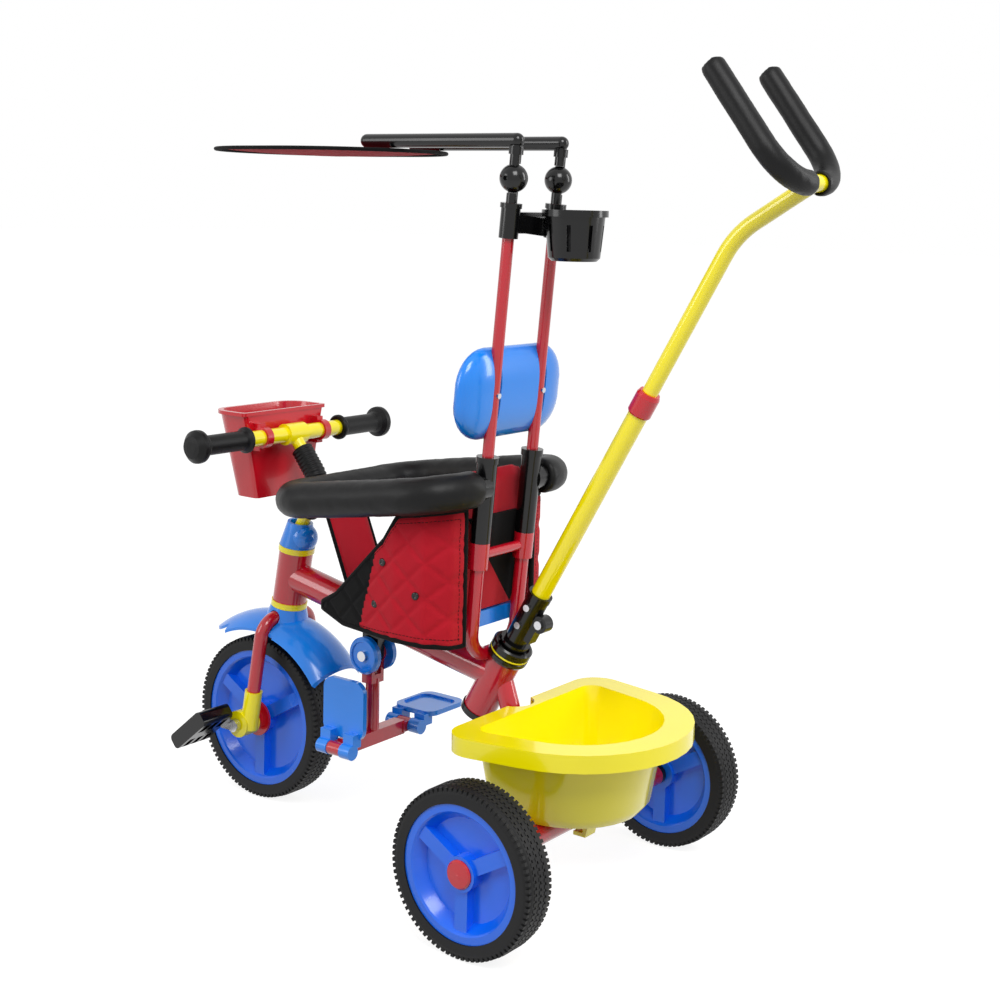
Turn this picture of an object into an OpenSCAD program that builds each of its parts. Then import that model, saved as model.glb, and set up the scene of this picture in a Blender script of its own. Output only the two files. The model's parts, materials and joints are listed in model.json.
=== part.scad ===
// Toddler push along trike: three wheels, a steered front wheel with direct pedals, a padded
// seat inside a foam guard ring, a folding footrest, a sun canopy and a parent push handle.
// Millimetres. +X is forward, +Y is the rider's left, +Z is up, the ground is z = 0.

/* [Wheels] */
// Outside radius of the front tyre
front_r = 116; // [108:1:124]
// Outside radius of the rear tyres
rear_r = 100; // [94:1:106]
// Width of every tyre
tyre_w = 44; // [38:1:46]
// Depth of a tyre from its tread to its seat on the rim
tyre_depth = 19; // [16:1:22]
// Distance between the front and rear axles
wheelbase = 542; // [520:1:570]
// Distance between the middle planes of the rear tyres
track = 430; // [425:1:450]
// Radius of the rear axle rod
axle_rod_r = 5; // [4:0.5:6]

/* [Frame] */
// Backward lean of the steering axis, in degrees
head_tilt = 9.6; // [7:0.1:12]
// Distance of the front axle ahead of the steering axis
fork_offset = 11; // [6:1:16]
// Distance of the front axle below the middle of the head tube
fork_drop = 217; // [210:1:226]
// Outside radius of the head tube
head_r = 24; // [22:0.5:27]
// Length of the head tube
head_len = 74; // [66:1:82]
// Outside radius of the main tube
main_r = 21; // [18:0.5:22]
// Outside radius of the leaning rear tube
rear_tube_r = 22; // [21:0.5:24]
// Length of the rear tube above the main tube's axis
rear_tube_up = 26; // [24:1:30]
// Length of the rear tube below the main tube's axis
rear_tube_down = 57; // [48:1:62]
// Place of the rear tube's crossing with the main tube, ahead of the rear axle
rear_joint_x = 128; // [122:1:134]
// Height of that crossing
rear_joint_z = 257; // [252:1:262]
// Backward lean of the rear tube and push handle, in degrees
handle_lean = 29.5; // [26:0.5:32]
// Radius of the stay and of the tube round the rear axle
stay_r = 13; // [11:0.5:14]
// Wall of the frame's steel tubes
tube_wall = 2; // [1.5:0.1:2.5]

/* [Seat and posts] */
// Distance of each canopy post from the middle plane
post_y = 47; // [44:1:52]
// Radius of the canopy posts
post_r = 7.5; // [6.5:0.5:8.5]
// Backward lean of the canopy posts, in degrees
post_lean = 5; // [3:0.5:7]
// Place of the seat's cross bar ahead of the rear axle
post_x = 127; // [124:1:132]
// Height of the seat's cross bar
post_z = 419; // [412:1:426]
// Height of the canopy hinges above the cross bar, along the posts
hinge_s = 473; // [460:1:490]
// Width of the seat
seat_w = 206; // [190:2:214]
// Length of the seat
seat_len = 190; // [180:1:196]
// Radius of the guard ring's foam
foam_r = 24; // [20:1:25]
// Half the width of the guard ring, to the foam's middle
ring_half_w = 133; // [130:1:140]
// Reach of the guard ring ahead of the posts
ring_len = 284; // [276:1:290]
// Forward slope of the guard ring, in degrees
ring_tilt = 8.6; // [6:0.2:10]

/* [Steering] */
// Radius of the fork's tube
fork_r = 9.5; // [8:0.5:10]
// Distance of each fork leg from the middle plane
fork_y = 48; // [46:1:52]
// Radius of the handlebar
bar_r = 11; // [10:0.5:12]
// Half the length of the handlebar with its grips
bar_half = 191; // [184:1:200]
// Height of the handlebar above the head tube's middle, along the steering axis
bar_up = 199; // [192:1:206]
// Distance of the handlebar ahead of the steering axis
bar_ahead = 36; // [30:1:40]
// Radius of the cranks, from the axle to the pedal pin
crank_r = 32; // [28:1:40]
// Radius of the front axle
crank_axle_r = 6; // [5:0.5:7]

/* [Footrest] */
// Place of the footrest hinge ahead of the rear axle
foot_x = 342; // [336:1:346]
// Drop of the footrest bar below its hinge
foot_drop = 116; // [110:1:122]
// Radius of the footrest's hinge discs
disc_r = 25.5; // [22:0.5:27]
// Length of each foot plate
plate_len = 80; // [74:1:90]
// Width of each foot plate
plate_w = 72; // [64:1:76]

/* [Canopy and cup] */
// Length of the canopy arms
arm_len = 242; // [230:1:254]
// Radius of the canopy arms
arm_r = 9; // [8:0.5:10]
// Half the width of the canopy
canopy_half_w = 136; // [128:1:146]
// Length of the canopy
canopy_len = 326; // [310:1:346]
// Height of the cup
cup_h = 62; // [56:1:68]
// Radius of the cup under its rim
cup_r = 37; // [34:0.5:40]

/* [Push handle] */
// Radius of the lower push tube
lower_r = 12.5; // [11.5:0.5:13.5]
// Radius of the upper push tube
upper_r = 10; // [9:0.5:10.5]
// Length from the main tube to the top of the lower push tube
lower_top = 424; // [410:1:440]
// Length from the main tube to the bend of the upper push tube
bend_s = 659; // [645:1:670]
// Bend of the upper push tube, in degrees
bend_deg = 28.5; // [24:0.5:32]
// Length of the upper push tube past its bend
bow_stem = 112; // [104:1:124]
// Radius of the push handle's foam grips
grip_r = 15; // [13:0.5:16]
// Length of the push handle's two horns
horn_len = 158; // [145:1:170]

/* [Luggage] */
// Half the width of the bucket's rim
bucket_half_w = 161; // [156:1:166]
// Reach of the bucket behind the rear axle
bucket_back = 142; // [136:1:148]
// Reach of the bucket ahead of the rear axle
bucket_front = 93; // [88:1:95]
// Height of the bucket
bucket_h = 112; // [104:1:120]
// Wall of the bucket, basket and cup
wall = 3; // [2.5:0.25:3.5]
// Width of the front basket at its rim
basket_w = 158; // [150:1:166]
// Depth of the front basket at its rim
basket_d = 66; // [60:1:72]
// Height of the front basket
basket_h = 122; // [116:1:130]

/* [Hidden] */
$fn = 48;
HULL_FN = 32;
gap = 0.3;
run = 0.05;
snug = 0.1;

// Steering axis and front axle
head_x = wheelbase - fork_offset * cos(head_tilt) - fork_drop * sin(head_tilt);
head_z = front_r - fork_offset * sin(head_tilt) + fork_drop * cos(head_tilt);
steerer_r = 13;
cup_ring_h = 8;
cup_ring_r = head_r + 1.5;
crown_s = -(head_len / 2 + cup_ring_h + 14);

// Rear wheels
wheel_y = track / 2;
wheel_clear = 2;
hub_half = tyre_w / 2 - 2;
bush_len = 8;
axle_tube_half = wheel_y - hub_half - wheel_clear - bush_len;
axle_end = wheel_y + hub_half - 4;

// Main tube line, from the rear tube to the steering axis
main_slope = (head_z - rear_joint_z) / (head_x - rear_joint_x);
main_lean = atan(main_slope);
function main_z(x) = rear_joint_z + (x - rear_joint_x) * main_slope;
function main_top(x) = main_z(x) + main_r / cos(main_lean);
function main_low(x) = main_z(x) - main_r / cos(main_lean);

// Seat
seat_x = 247;
seat_rim = 20;
seat_lift = 6;
seat_z = main_top(seat_x + 40) + seat_lift;
seat_top = seat_z + seat_rim;
sleeve_r = 13;
hoop_r = 9;
hoop_s = -135;
back_offset = sleeve_r + 4;
pad_t = 24;
sleeve_low = 17;
sleeve_top = 127;
ring_s = 88;
ring_tube_r = 9;
panel_y = seat_w / 2 + 16;
panel_t = 7;
strap_w = 80;
strap_t = 6;

// Footrest
foot_z = main_low(foot_x) - disc_r - 8;
pivot_r = 4;
lug_half = 6.5;
ear_t = 5.5;
disc_t = 10;
foot_tube_r = 9.5;
foot_bar = 19;
foot_bar_half = 58;
plate_hinge_y = foot_bar_half + 13;
plate_t = 7;
plate_pin_r = 3;

// Canopy
ball_r = 17.5;
stub_r = 7;
elbow_s = hinge_s + 46;
clamp_s = 400;
clamp_len = 43;
function post_at(s) = [post_x - s * sin(post_lean), 0, post_z + s * cos(post_lean)];
arm_z = post_at(elbow_s).z;
arm_x = post_at(elbow_s).x;
hoop_wire_r = 2.5;
canopy_z = arm_z - arm_r - gap - hoop_wire_r;
canopy_x = arm_x + arm_len + 108;
fabric_t = 2;
cup_axis_x = post_at(clamp_s).x - cup_r - 29;
cup_base_r = cup_r - 5;
cup_z = post_at(clamp_s).z - 26;

// Push handle
collar_r = 27;
collar_len = 24;
shaft_r = 12;
socket_r = 15;
socket_low = rear_tube_up + collar_len + gap;
socket_top = 132;
handle_dir = [-sin(handle_lean), 0, cos(handle_lean)];
stem_dir = [-sin(handle_lean + bend_deg), 0, cos(handle_lean + bend_deg)];
rear_joint = [rear_joint_x, 0, rear_joint_z];
bend_at = rear_joint + bend_s * handle_dir;
bow_at = bend_at + bow_stem * stem_dir;
bow_rise = 53;
bow_dir = [cos(bow_rise), 0, sin(bow_rise)];
bow_half_w = 66;
bow_bend = 50;

// Bucket
tub_z = rear_r + stay_r + 1 + gap;
rim_z = tub_z + bucket_h;
skirt_h = 22;
rim_w = 34;

// The model's own origin: the middle of its length, on the ground
mid_x = (wheelbase + front_r + bow_at.x - grip_r) / 2;

// Vector help
function unit(v) = v / norm(v);
function side_of(v) = unit(cross(abs(v.z) < 0.9 ? [0, 0, 1] : [1, 0, 0], v));

// Puts children in a frame with the given origin and axes
module frame_to(o, ex, ey, ez) {
  multmatrix([
    [ex.x, ey.x, ez.x, o.x],
    [ex.y, ey.y, ez.y, o.y],
    [ex.z, ey.z, ez.z, o.z],
    [0, 0, 0, 1]
  ]) children();
}

// A round bar between two points
module rod(a, b, r) {
  ez = unit(b - a);
  ex = side_of(ez);
  frame_to(a, ex, cross(ez, ex), ez) cylinder(r = r, h = norm(b - a));
}

// A round bar along a line of points, with round bends
module bent_rod(pts, r, bend) {
  n = len(pts);
  cut = [for (i = [0:n - 1]) i == 0 || i == n - 1 ? 0
    : bend / tan(acos(unit(pts[i - 1] - pts[i]) * unit(pts[i + 1] - pts[i])) / 2)];
  for (i = [0:n - 2]) {
    d = unit(pts[i + 1] - pts[i]);
    rod(pts[i] + d * cut[i], pts[i + 1] - d * cut[i + 1], r);
  }
  for (i = [1:n - 2]) {
    u = unit(pts[i - 1] - pts[i]);
    w = unit(pts[i + 1] - pts[i]);
    phi = acos(u * w);
    c = pts[i] + unit(u + w) * bend / sin(phi / 2);
    e1 = unit(pts[i] + u * cut[i] - c);
    ez = unit(cross(e1, pts[i] + w * cut[i] - c));
    frame_to(c, e1, cross(ez, e1), ez)
      rotate_extrude(angle = 180 - phi) translate([bend, 0]) circle(r = r);
  }
}

// A cylinder along Y, centred on y = 0
module cross_cylinder(r, len) {
  rotate([90, 0, 0]) cylinder(r = r, h = len, center = true);
}

// A cylinder along Y from y = 0 towards the given side
module side_cylinder(r, len, side) {
  rotate([-90 * side, 0, 0]) cylinder(r = r, h = len);
}

// A flat shape with round corners
module rounded_rect(w, h, r) {
  square([w - 2 * r, h], center = true);
  square([w, h - 2 * r], center = true);
  for (x = [-1, 1], y = [-1, 1]) translate([x * (w / 2 - r), y * (h / 2 - r)]) circle(r = r);
}

// The local frames of the model
module in_steering() {
  translate([head_x, 0, head_z]) rotate([0, -head_tilt, 0]) children();
}
module in_handle() {
  translate(rear_joint) rotate([0, -handle_lean, 0]) children();
}
module in_posts() {
  translate([post_x, 0, post_z]) rotate([0, -post_lean, 0]) children();
}
module in_ring() {
  translate(post_at(ring_s)) rotate([0, ring_tilt, 0]) children();
}
module at_front_axle() {
  translate([wheelbase, 0, front_r]) children();
}
module at_rear_wheel(side) {
  translate([0, side * wheel_y, rear_r]) children();
}
module at_footrest() {
  translate([foot_x, 0, foot_z]) children();
}
module placed() {
  translate([-mid_x, 0, 0]) children();
}

// Frame

module main_tube_line(r) {
  rod(rear_joint, [head_x, 0, head_z], r);
}

module rear_tube_line(r, more = 0) {
  in_handle() translate([0, 0, -rear_tube_down - more])
    cylinder(r = r, h = rear_tube_down + rear_tube_up + 2 * more);
}

module main_tube() {
  color("red") difference() {
    union() {
      main_tube_line(main_r);
      in_steering() cylinder(r = head_r, h = head_len, center = true);
    }
    main_tube_line(main_r - tube_wall);
    rear_tube_line(rear_tube_r, 30);
    in_steering() cylinder(r = head_r - 5, h = head_len + 2, center = true);
  }
}

stay_top = rear_joint + 8 * handle_dir;
stay_foot = [66, 0, rear_r];
keel_r = stay_r + 1;

module rear_frame() {
  color("red") difference() {
    union() {
      rear_tube_line(rear_tube_r);
      rod(stay_top, stay_foot, stay_r);
      translate([0, 0, rear_r]) rotate([0, 90, 0]) cylinder(r = keel_r, h = stay_foot.x + 16);
      translate([0, 0, rear_r]) cross_cylinder(stay_r, 2 * axle_tube_half);
    }
    rod(stay_top, stay_foot, stay_r - tube_wall);
    rear_tube_line(shaft_r + 4, 1);
    translate([0, 0, rear_r]) rotate([0, 90, 0]) cylinder(r = keel_r - tube_wall, h = stay_foot.x + 13);
    translate([0, 0, rear_r]) cross_cylinder(stay_r - tube_wall, 2 * axle_tube_half + 2);
  }
}

module back_hoop() {
  color("red") difference() {
    in_posts() {
      bent_rod([[0, post_y, 0], [0, post_y, hoop_s], [0, -post_y, hoop_s], [0, -post_y, 0]],
        hoop_r, 34);
      cross_cylinder(6.5, 2 * post_y);
      for (side = [-1, 1]) translate([0, side * post_y, -sleeve_low])
        cylinder(r = sleeve_r, h = 2 * sleeve_low);
    }
    main_tube_line(main_r);
    rear_tube_line(rear_tube_r, 2);
    in_handle() translate([0, 0, rear_tube_up - gap]) cylinder(r = collar_r + gap, h = collar_len + 2 * gap);
  }
}

module head_cups() {
  color("yellow") in_steering() for (end = [-1, 1]) difference() {
    union() {
      translate([0, 0, end * (head_len + cup_ring_h) / 2])
        cylinder(r = cup_ring_r, h = cup_ring_h, center = true);
      translate([0, 0, end * (head_len / 2 - 6)])
        cylinder(r = head_r - 5 - snug, h = 12, center = true);
    }
    cylinder(r = steerer_r + run, h = 2 * head_len, center = true);
  }
}

module steer_collar() {
  color("black") in_handle() translate([0, 0, rear_tube_up]) rotate_extrude() polygon([
    [shaft_r + run, 0], [collar_r - 3, 0], [collar_r, 4], [collar_r, 9], [collar_r - 2, 10],
    [collar_r - 2, 13], [collar_r, 14], [collar_r, collar_len - 2], [collar_r - 2, collar_len],
    [collar_r - 5, collar_len], [collar_r - 5, collar_len - 5], [shaft_r + run, collar_len - 5]
  ]);
}

module rear_tube_cap() {
  color("black") in_handle() translate([0, 0, -rear_tube_down]) {
    difference() {
      union() {
        translate([0, 0, -8]) cylinder(r = rear_tube_r + 1.5, h = 8);
        cylinder(r = shaft_r + 4 - snug, h = 14);
      }
      translate([0, 0, -1]) cylinder(r = shaft_r + run, h = 16);
    }
  }
}

module rear_axle() {
  color("silver") translate([0, 0, rear_r]) cross_cylinder(axle_rod_r, 2 * axle_end);
}

module axle_bushes() {
  color("black") for (side = [-1, 1]) translate([0, side * axle_tube_half, rear_r]) difference() {
    union() {
      side_cylinder(stay_r, bush_len, side);
      side_cylinder(stay_r - tube_wall - snug, 14, -side);
    }
    cross_cylinder(axle_rod_r + snug, 60);
  }
}

// Posts, headrest and cup

module post_sockets() {
  color("black") difference() {
    union() {
      in_posts() for (side = [-1, 1]) translate([0, side * post_y, 0]) {
        translate([0, 0, sleeve_low]) cylinder(r = sleeve_r, h = sleeve_top - sleeve_low);
        translate([0, 0, sleeve_top - 8]) cylinder(r = sleeve_r + 1.5, h = 8);
      }
      in_ring() for (side = [-1, 1]) translate([0, side * (post_y + 2), 0])
        side_cylinder(16, ring_end_y - post_y - 2, side);
    }
    in_posts() for (side = [-1, 1]) translate([0, side * post_y, sleeve_low + 8])
      cylinder(r = post_r + snug, h = sleeve_top);
    in_ring() for (side = [-1, 1]) translate([0, side * (post_y + sleeve_r), 0])
      side_cylinder(ring_tube_r + snug, 40, side);
  }
}

module canopy_posts() {
  color("red") in_posts() for (side = [-1, 1]) translate([0, side * post_y, sleeve_low + 8])
    cylinder(r = post_r, h = clamp_s + clamp_len - sleeve_low - 8);
}

headrest_s = 205;
headrest_ahead = 13;

module headrest() {
  half_t = 19;
  corner = 48;
  color("dodgerblue") in_posts() difference() {
    translate([headrest_ahead, 0, headrest_s]) scale([half_t / corner, 1, 1]) hull()
      for (y = [-56, 56], z = [-10, 10]) translate([0, y, z]) sphere(r = corner, $fn = HULL_FN);
    for (side = [-1, 1]) translate([0, side * post_y, headrest_s - 80]) {
      cylinder(r = post_r + snug, h = 160);
      translate([-25, -post_r - snug, 0]) cube([25, 2 * (post_r + snug), 160]);
    }
  }
}

module headrest_screws() {
  color("silver") in_posts() for (side = [-1, 1]) translate([0, side * post_y, headrest_s]) difference() {
    translate([-post_r - 2, 0, 0]) rotate([0, 90, 0]) cylinder(r = 3.5, h = 5);
    cylinder(r = post_r, h = 20, center = true);
  }
}

module cup_bracket() {
  arm_back = 30;
  color("black") difference() {
    in_posts() {
      for (side = [-1, 1]) translate([0, side * post_y, clamp_s]) {
        cylinder(r = post_r + 4.5, h = clamp_len);
        translate([0, 0, clamp_len - 6]) cylinder(r = post_r + 6, h = 6);
      }
      translate([-4, -post_y, clamp_s + 6]) cube([9, 2 * post_y, 26]);
      translate([-arm_back, -18, clamp_s + 6]) cube([arm_back, 36, 22]);
    }
    in_posts() for (side = [-1, 1]) translate([0, side * post_y, clamp_s - 1])
      cylinder(r = post_r + snug, h = clamp_len + 2);
    translate([cup_axis_x, 0, cup_z]) rotate_extrude() polygon([
      [0, -cup_h], [cup_base_r + gap, -cup_h], [cup_base_r + gap, 4], [cup_r + gap, cup_h - 8 - gap],
      [cup_r + wall + 1 + gap, cup_h - 8 - gap], [cup_r + wall + 1 + gap, 2 * cup_h], [0, 2 * cup_h]
    ]);
  }
}

module cup_holder() {
  color("black") translate([cup_axis_x, 0, cup_z]) difference() {
    rotate_extrude() polygon([
      [0, 0], [cup_base_r - 4, 0], [cup_base_r, 4], [cup_r, cup_h - 8], [cup_r + wall + 1, cup_h - 8],
      [cup_r + wall + 1, cup_h], [cup_r - wall + 1, cup_h], [cup_base_r - wall, 4], [cup_base_r - wall, wall],
      [0, wall]
    ]);
    for (i = [0:7]) rotate([0, 0, 22.5 + i * 45]) translate([cup_base_r - 8, -2.5, 12]) cube([20, 5, 32]);
  }
}

module canopy_hinge_bases() {
  color("black") in_posts() for (side = [-1, 1]) translate([0, side * post_y, hinge_s]) {
    difference() {
      union() {
        sphere(r = ball_r);
        translate([0, 0, clamp_s + clamp_len - hinge_s])
          cylinder(r = stub_r, h = hinge_s - clamp_s - clamp_len);
      }
      translate([0, side * ball_r, 0]) cube([4 * ball_r, 2 * ball_r - gap, 2 * ball_r + 1], center = true);
    }
    translate([0, -side * 4, 0]) side_cylinder(3, ball_r, side);
  }
}

// Seat

module seat_plan(inset = 0) {
  rounded_rect(seat_len - 2 * inset, seat_w - 2 * inset, 46 - inset);
}

module seat_base() {
  color("dodgerblue") translate([seat_x, 0, seat_z]) difference() {
    linear_extrude(seat_rim) seat_plan();
    translate([0, 0, -1]) linear_extrude(seat_rim - 4 + 1) seat_plan(5);
    translate([-seat_x, 0, -seat_z]) main_tube_line(main_r + gap);
  }
}

module seat_bracket() {
  color("black") difference() {
    translate([seat_x, 0, seat_z + seat_rim - 4]) mirror([0, 0, 1]) linear_extrude(60)
      rounded_rect(120, 34, 8);
    main_tube_line(main_r + snug);
    translate([seat_x, 0, seat_z - 64]) cube([300, 100, 80], center = true);
  }
}

module seat_back() {
  color("dodgerblue") in_posts() translate([back_offset, 0, -20]) rotate([0, 90, 0])
    linear_extrude(6) rounded_rect(124, 184, 40);
}

module crowned_pad(w, h, t, r) {
  hull() {
    linear_extrude(t * 0.3) rounded_rect(w, h, r, $fn = HULL_FN);
    translate([0, 0, t * 0.55]) linear_extrude(0.1) rounded_rect(w - 8, h - 8, r - 4, $fn = HULL_FN);
    translate([0, 0, t - 0.1]) linear_extrude(0.1) rounded_rect(w - 44, h - 44, r - 18, $fn = HULL_FN);
  }
}

module seat_pad() {
  color("red") translate([seat_x + 4, 0, seat_top + gap]) crowned_pad(seat_len - 26, seat_w - 18, pad_t, 40);
}

module back_pad() {
  color("red") difference() {
    in_posts() translate([back_offset + 6 + gap, 0, 25]) rotate([0, 90, 0]) crowned_pad(160, 172, pad_t, 40);
    in_ring() for (side = [-1, 1]) translate([0, side * ring_end_y, 0]) side_cylinder(foam_r + 6 * gap, 40, side);
  }
}

// The plan of one side panel: a strip that turns in towards the post
module panel_plan(side, t) {
  path = [[post_x + 3.2, 71], [post_x + 9, 91.4], [post_x + 36, panel_y - 7], [post_x + 76, panel_y],
    [seat_x + seat_len / 2 - 12, panel_y - 7]];
  way = [for (i = [0:4]) unit(path[min(i + 1, 4)] - path[max(i - 1, 0)])];
  outer = [for (i = [0:4]) path[i] + [-way[i].y, way[i].x] * t / 2];
  inner = [for (i = [4:-1:0]) path[i] - [-way[i].y, way[i].x] * t / 2];
  polygon([for (p = concat(outer, inner)) [p.x, side * p.y]]);
}

module side_panels() {
  low = seat_z - 4;
  front_x = seat_x + seat_len / 2;
  back_x = post_x - 24;
  top = post_at(ring_s).z - foam_r + 0.6;
  color("red") for (side = [-1, 1]) intersection() {
    translate([0, 0, low - 20]) linear_extrude(300) panel_plan(side, panel_t);
    translate([0, 200, 0]) rotate([90, 0, 0]) linear_extrude(400) polygon([
      [back_x, low - 6], [front_x - 50, low + 4], [front_x, low + 22], [front_x - 36, low + 42],
      [back_x + 118, top - 46], [back_x + 96, top - 13], [back_x, top + 2]
    ]);
  }
}

module crotch_strap() {
  low = [seat_x + seat_len / 2 + 6, seat_top - 6];
  high = [post_x + ring_len - 16, post_at(ring_s).z - ring_len * sin(ring_tilt) - foam_r - 0.2];
  color("red") translate([0, strap_w / 2, 0]) rotate([90, 0, 0]) linear_extrude(strap_w)
    polygon([low, low + [strap_t, 0], high + [strap_t, 0], high]);
}

// Guard ring

module ring_line(r, end_y) {
  w = ring_half_w;
  in_ring() bent_rod([
    [0, end_y, 0], [0, w, 0], [ring_len, w, 0], [ring_len, -w, 0], [0, -w, 0], [0, -end_y, 0]
  ], r, 60);
}

ring_end_y = post_y + sleeve_r + 8;

module guard_ring_tube() {
  color("silver") ring_line(ring_tube_r, post_y + sleeve_r + snug);
}

module guard_ring_foam() {
  color("black") difference() {
    ring_line(foam_r, ring_end_y + gap);
    ring_line(ring_tube_r + snug, ring_end_y - 5);
  }
}

// Rear bucket

module bucket_plan(inset, front_inset) {
  r_front = max(12, 36 - inset / 2);
  mid = bucket_front - 85;
  r_back = bucket_back + mid - inset;
  hull() {
    for (side = [-1, 1])
      translate([bucket_front - front_inset - r_front, side * (bucket_half_w - inset - r_front)])
        circle(r = r_front, $fn = HULL_FN);
    polygon([for (a = [90:10:270]) [mid + r_back * cos(a), r_back * sin(a)]]);
  }
}

module tub_loft(more) {
  top_in = rim_w + wall - more;
  base_in = 66 - more;
  hull() {
    translate([0, 0, tub_z + wall - more]) linear_extrude(0.1) bucket_plan(base_in, 46 - more);
    translate([0, 0, tub_z + 14]) linear_extrude(0.1) bucket_plan(base_in - 12, 37 - more);
    translate([0, 0, rim_z + (more > 0 ? -0.1 : 0.1)]) linear_extrude(0.1) bucket_plan(top_in, 24 - more);
  }
}

module bucket() {
  color("yellow") difference() {
    union() {
      tub_loft(wall);
      translate([0, 0, rim_z - wall]) linear_extrude(wall) bucket_plan(0, 0);
      translate([0, 0, rim_z - skirt_h]) linear_extrude(skirt_h) difference() {
        bucket_plan(0, 0);
        bucket_plan(wall, wall);
      }
    }
    tub_loft(0);
    translate([bucket_front + 8, 0, tub_z - 1]) cylinder(r = stay_r + 13, h = bucket_h + 2);
  }
  clip_back = -stay_r - 4;
  color("yellow") translate([0, 11, rear_r]) rotate([90, 0, 0]) linear_extrude(22) polygon([
    [clip_back - 12, tub_z - rear_r + 1], [clip_back - 4, -stay_r - 8], [clip_back + 14, -stay_r - 8],
    [clip_back + 14, -stay_r - 3], [clip_back, -stay_r - 3], [clip_back, tub_z - rear_r + 1]
  ]);
}

// Footrest

module footrest_bracket() {
  color("black") difference() {
    union() {
      at_footrest() {
        cross_cylinder(14, 2 * lug_half);
        translate([-14, -lug_half, 0]) cube([28, 2 * lug_half, disc_r + 30]);
      }
      translate([foot_x, 0, main_low(foot_x)]) rotate([0, -main_lean, 0])
        translate([-26, -16, -3]) cube([52, 32, 24]);
    }
    main_tube_line(main_r + snug);
    at_footrest() {
      cross_cylinder(pivot_r + snug, 60);
      translate([-60, -50, disc_r + 32]) cube([120, 100, 60]);
    }
  }
}

module footrest_bolt() {
  half = lug_half + gap + ear_t + disc_t - 2 + gap;
  color("silver") at_footrest() {
    cross_cylinder(pivot_r, 2 * half);
    for (side = [-1, 1]) translate([0, side * half, 0]) side_cylinder(7, 4, side);
  }
}

module footrest_stem() {
  ear_in = lug_half + gap;
  color("red") at_footrest() difference() {
    union() {
      for (side = [-1, 1]) translate([0, side * ear_in, 0]) {
        side_cylinder(13, ear_t, side);
        translate([-9, side > 0 ? 0 : -ear_t, -34]) cube([18, ear_t, 34]);
      }
      translate([0, 0, -34]) rotate([180, 0, 0]) cylinder(r = foot_tube_r, h = foot_drop - 34);
      translate([0, 0, -34]) cube([18, 2 * (ear_in + ear_t), 12], center = true);
      translate([0, 0, -foot_drop]) cube([foot_bar, 2 * foot_bar_half, foot_bar], center = true);
      for (side = [-1, 1]) translate([0, side * plate_hinge_y, -foot_drop]) {
        rotate([0, 90, 0]) cylinder(r = 9, h = 22, center = true);
        translate([0, -side * 8, 0]) cube([22, 18, 14], center = true);
      }
    }
    cross_cylinder(pivot_r + run, 80);
    for (side = [-1, 1]) translate([0, side * plate_hinge_y, -foot_drop]) rotate([0, 90, 0])
      cylinder(r = plate_pin_r + run, h = 60, center = true);
  }
}

module footrest_discs() {
  inner = lug_half + gap + ear_t;
  color("dodgerblue") at_footrest() for (side = [-1, 1]) translate([0, side * inner, 0]) difference() {
    rotate([-90 * side, 0, 0]) rotate_extrude() polygon([
      [0, 0], [disc_r, 0], [disc_r, disc_t - 3], [disc_r - 3, disc_t], [disc_r - 6, disc_t],
      [disc_r - 7, disc_t - 2], [0, disc_t - 2]
    ]);
    cross_cylinder(pivot_r + run, 80);
  }
}

// A foot plate that lies along +Y from its hinge at the origin
module foot_plate() {
  barrel = 18;
  color("dodgerblue") {
    difference() {
      union() {
        translate([0, plate_len / 2 + 12, 12]) linear_extrude(plate_t) union() {
          rounded_rect(plate_w, plate_len, 16);
          translate([0, plate_len / 2 - plate_w / 2]) circle(r = plate_w / 2);
        }
        for (end = [-1, 1]) translate([end * (11.5 + barrel / 2), 0, 0]) {
          rotate([0, 90, 0]) cylinder(r = 10, h = barrel, center = true);
          translate([0, 14, 8]) cube([barrel, 18, 16], center = true);
        }
      }
      translate([0, plate_len / 2 + 12, 12 + plate_t - 3]) linear_extrude(4)
        rounded_rect(plate_w - 10, plate_len - 24, 14);
      rotate([0, 90, 0]) cylinder(r = 9 + gap, h = 23, center = true);
    }
    rotate([0, 90, 0]) cylinder(r = plate_pin_r, h = 24, center = true);
  }
}

module footplate_left() {
  at_footrest() translate([0, plate_hinge_y, -foot_drop]) rotate([90, 0, 0]) foot_plate();
}

module footplate_right() {
  at_footrest() translate([0, -plate_hinge_y, -foot_drop]) rotate([0, 0, 180]) foot_plate();
}

// Fork and steering

axle_s = -fork_drop;

module fork() {
  leg_low = axle_s + 12;
  color("red") in_steering() difference() {
    union() {
      bent_rod([
        [0, fork_y, leg_low], [0, fork_y, crown_s], [0, -fork_y, crown_s], [0, -fork_y, leg_low]
      ], fork_r, 26);
      translate([0, 0, crown_s]) cylinder(r = steerer_r, h = stem_low - snug - crown_s);
    }
    translate([0, 0, crown_s + fork_r + 2]) cylinder(r = steerer_r - 3, h = 200);
  }
}

// The fork's bent tube made thicker, to clear it from the pieces round it
module fork_cut(more) {
  leg_low = axle_s + 12;
  in_steering() bent_rod([
    [0, fork_y, leg_low], [0, fork_y, crown_s], [0, -fork_y, crown_s], [0, -fork_y, leg_low]
  ], fork_r + more, 26);
}

module fork_ends() {
  color("yellow") difference() {
    for (side = [-1, 1]) {
      in_steering() translate([0, side * fork_y, axle_s - 4]) cylinder(r = fork_r + 3, h = 56);
      at_front_axle() translate([0, side * (fork_y - 13), 0]) side_cylinder(19, 26, side);
    }
    in_steering() for (side = [-1, 1]) translate([0, side * fork_y, axle_s + 12])
      cylinder(r = fork_r + snug, h = 100);
    at_front_axle() cross_cylinder(crank_axle_r + run, 200);
  }
}

fender_r = 168;
fender_at = [wheelbase - 17, 0, front_r - 11];

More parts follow.
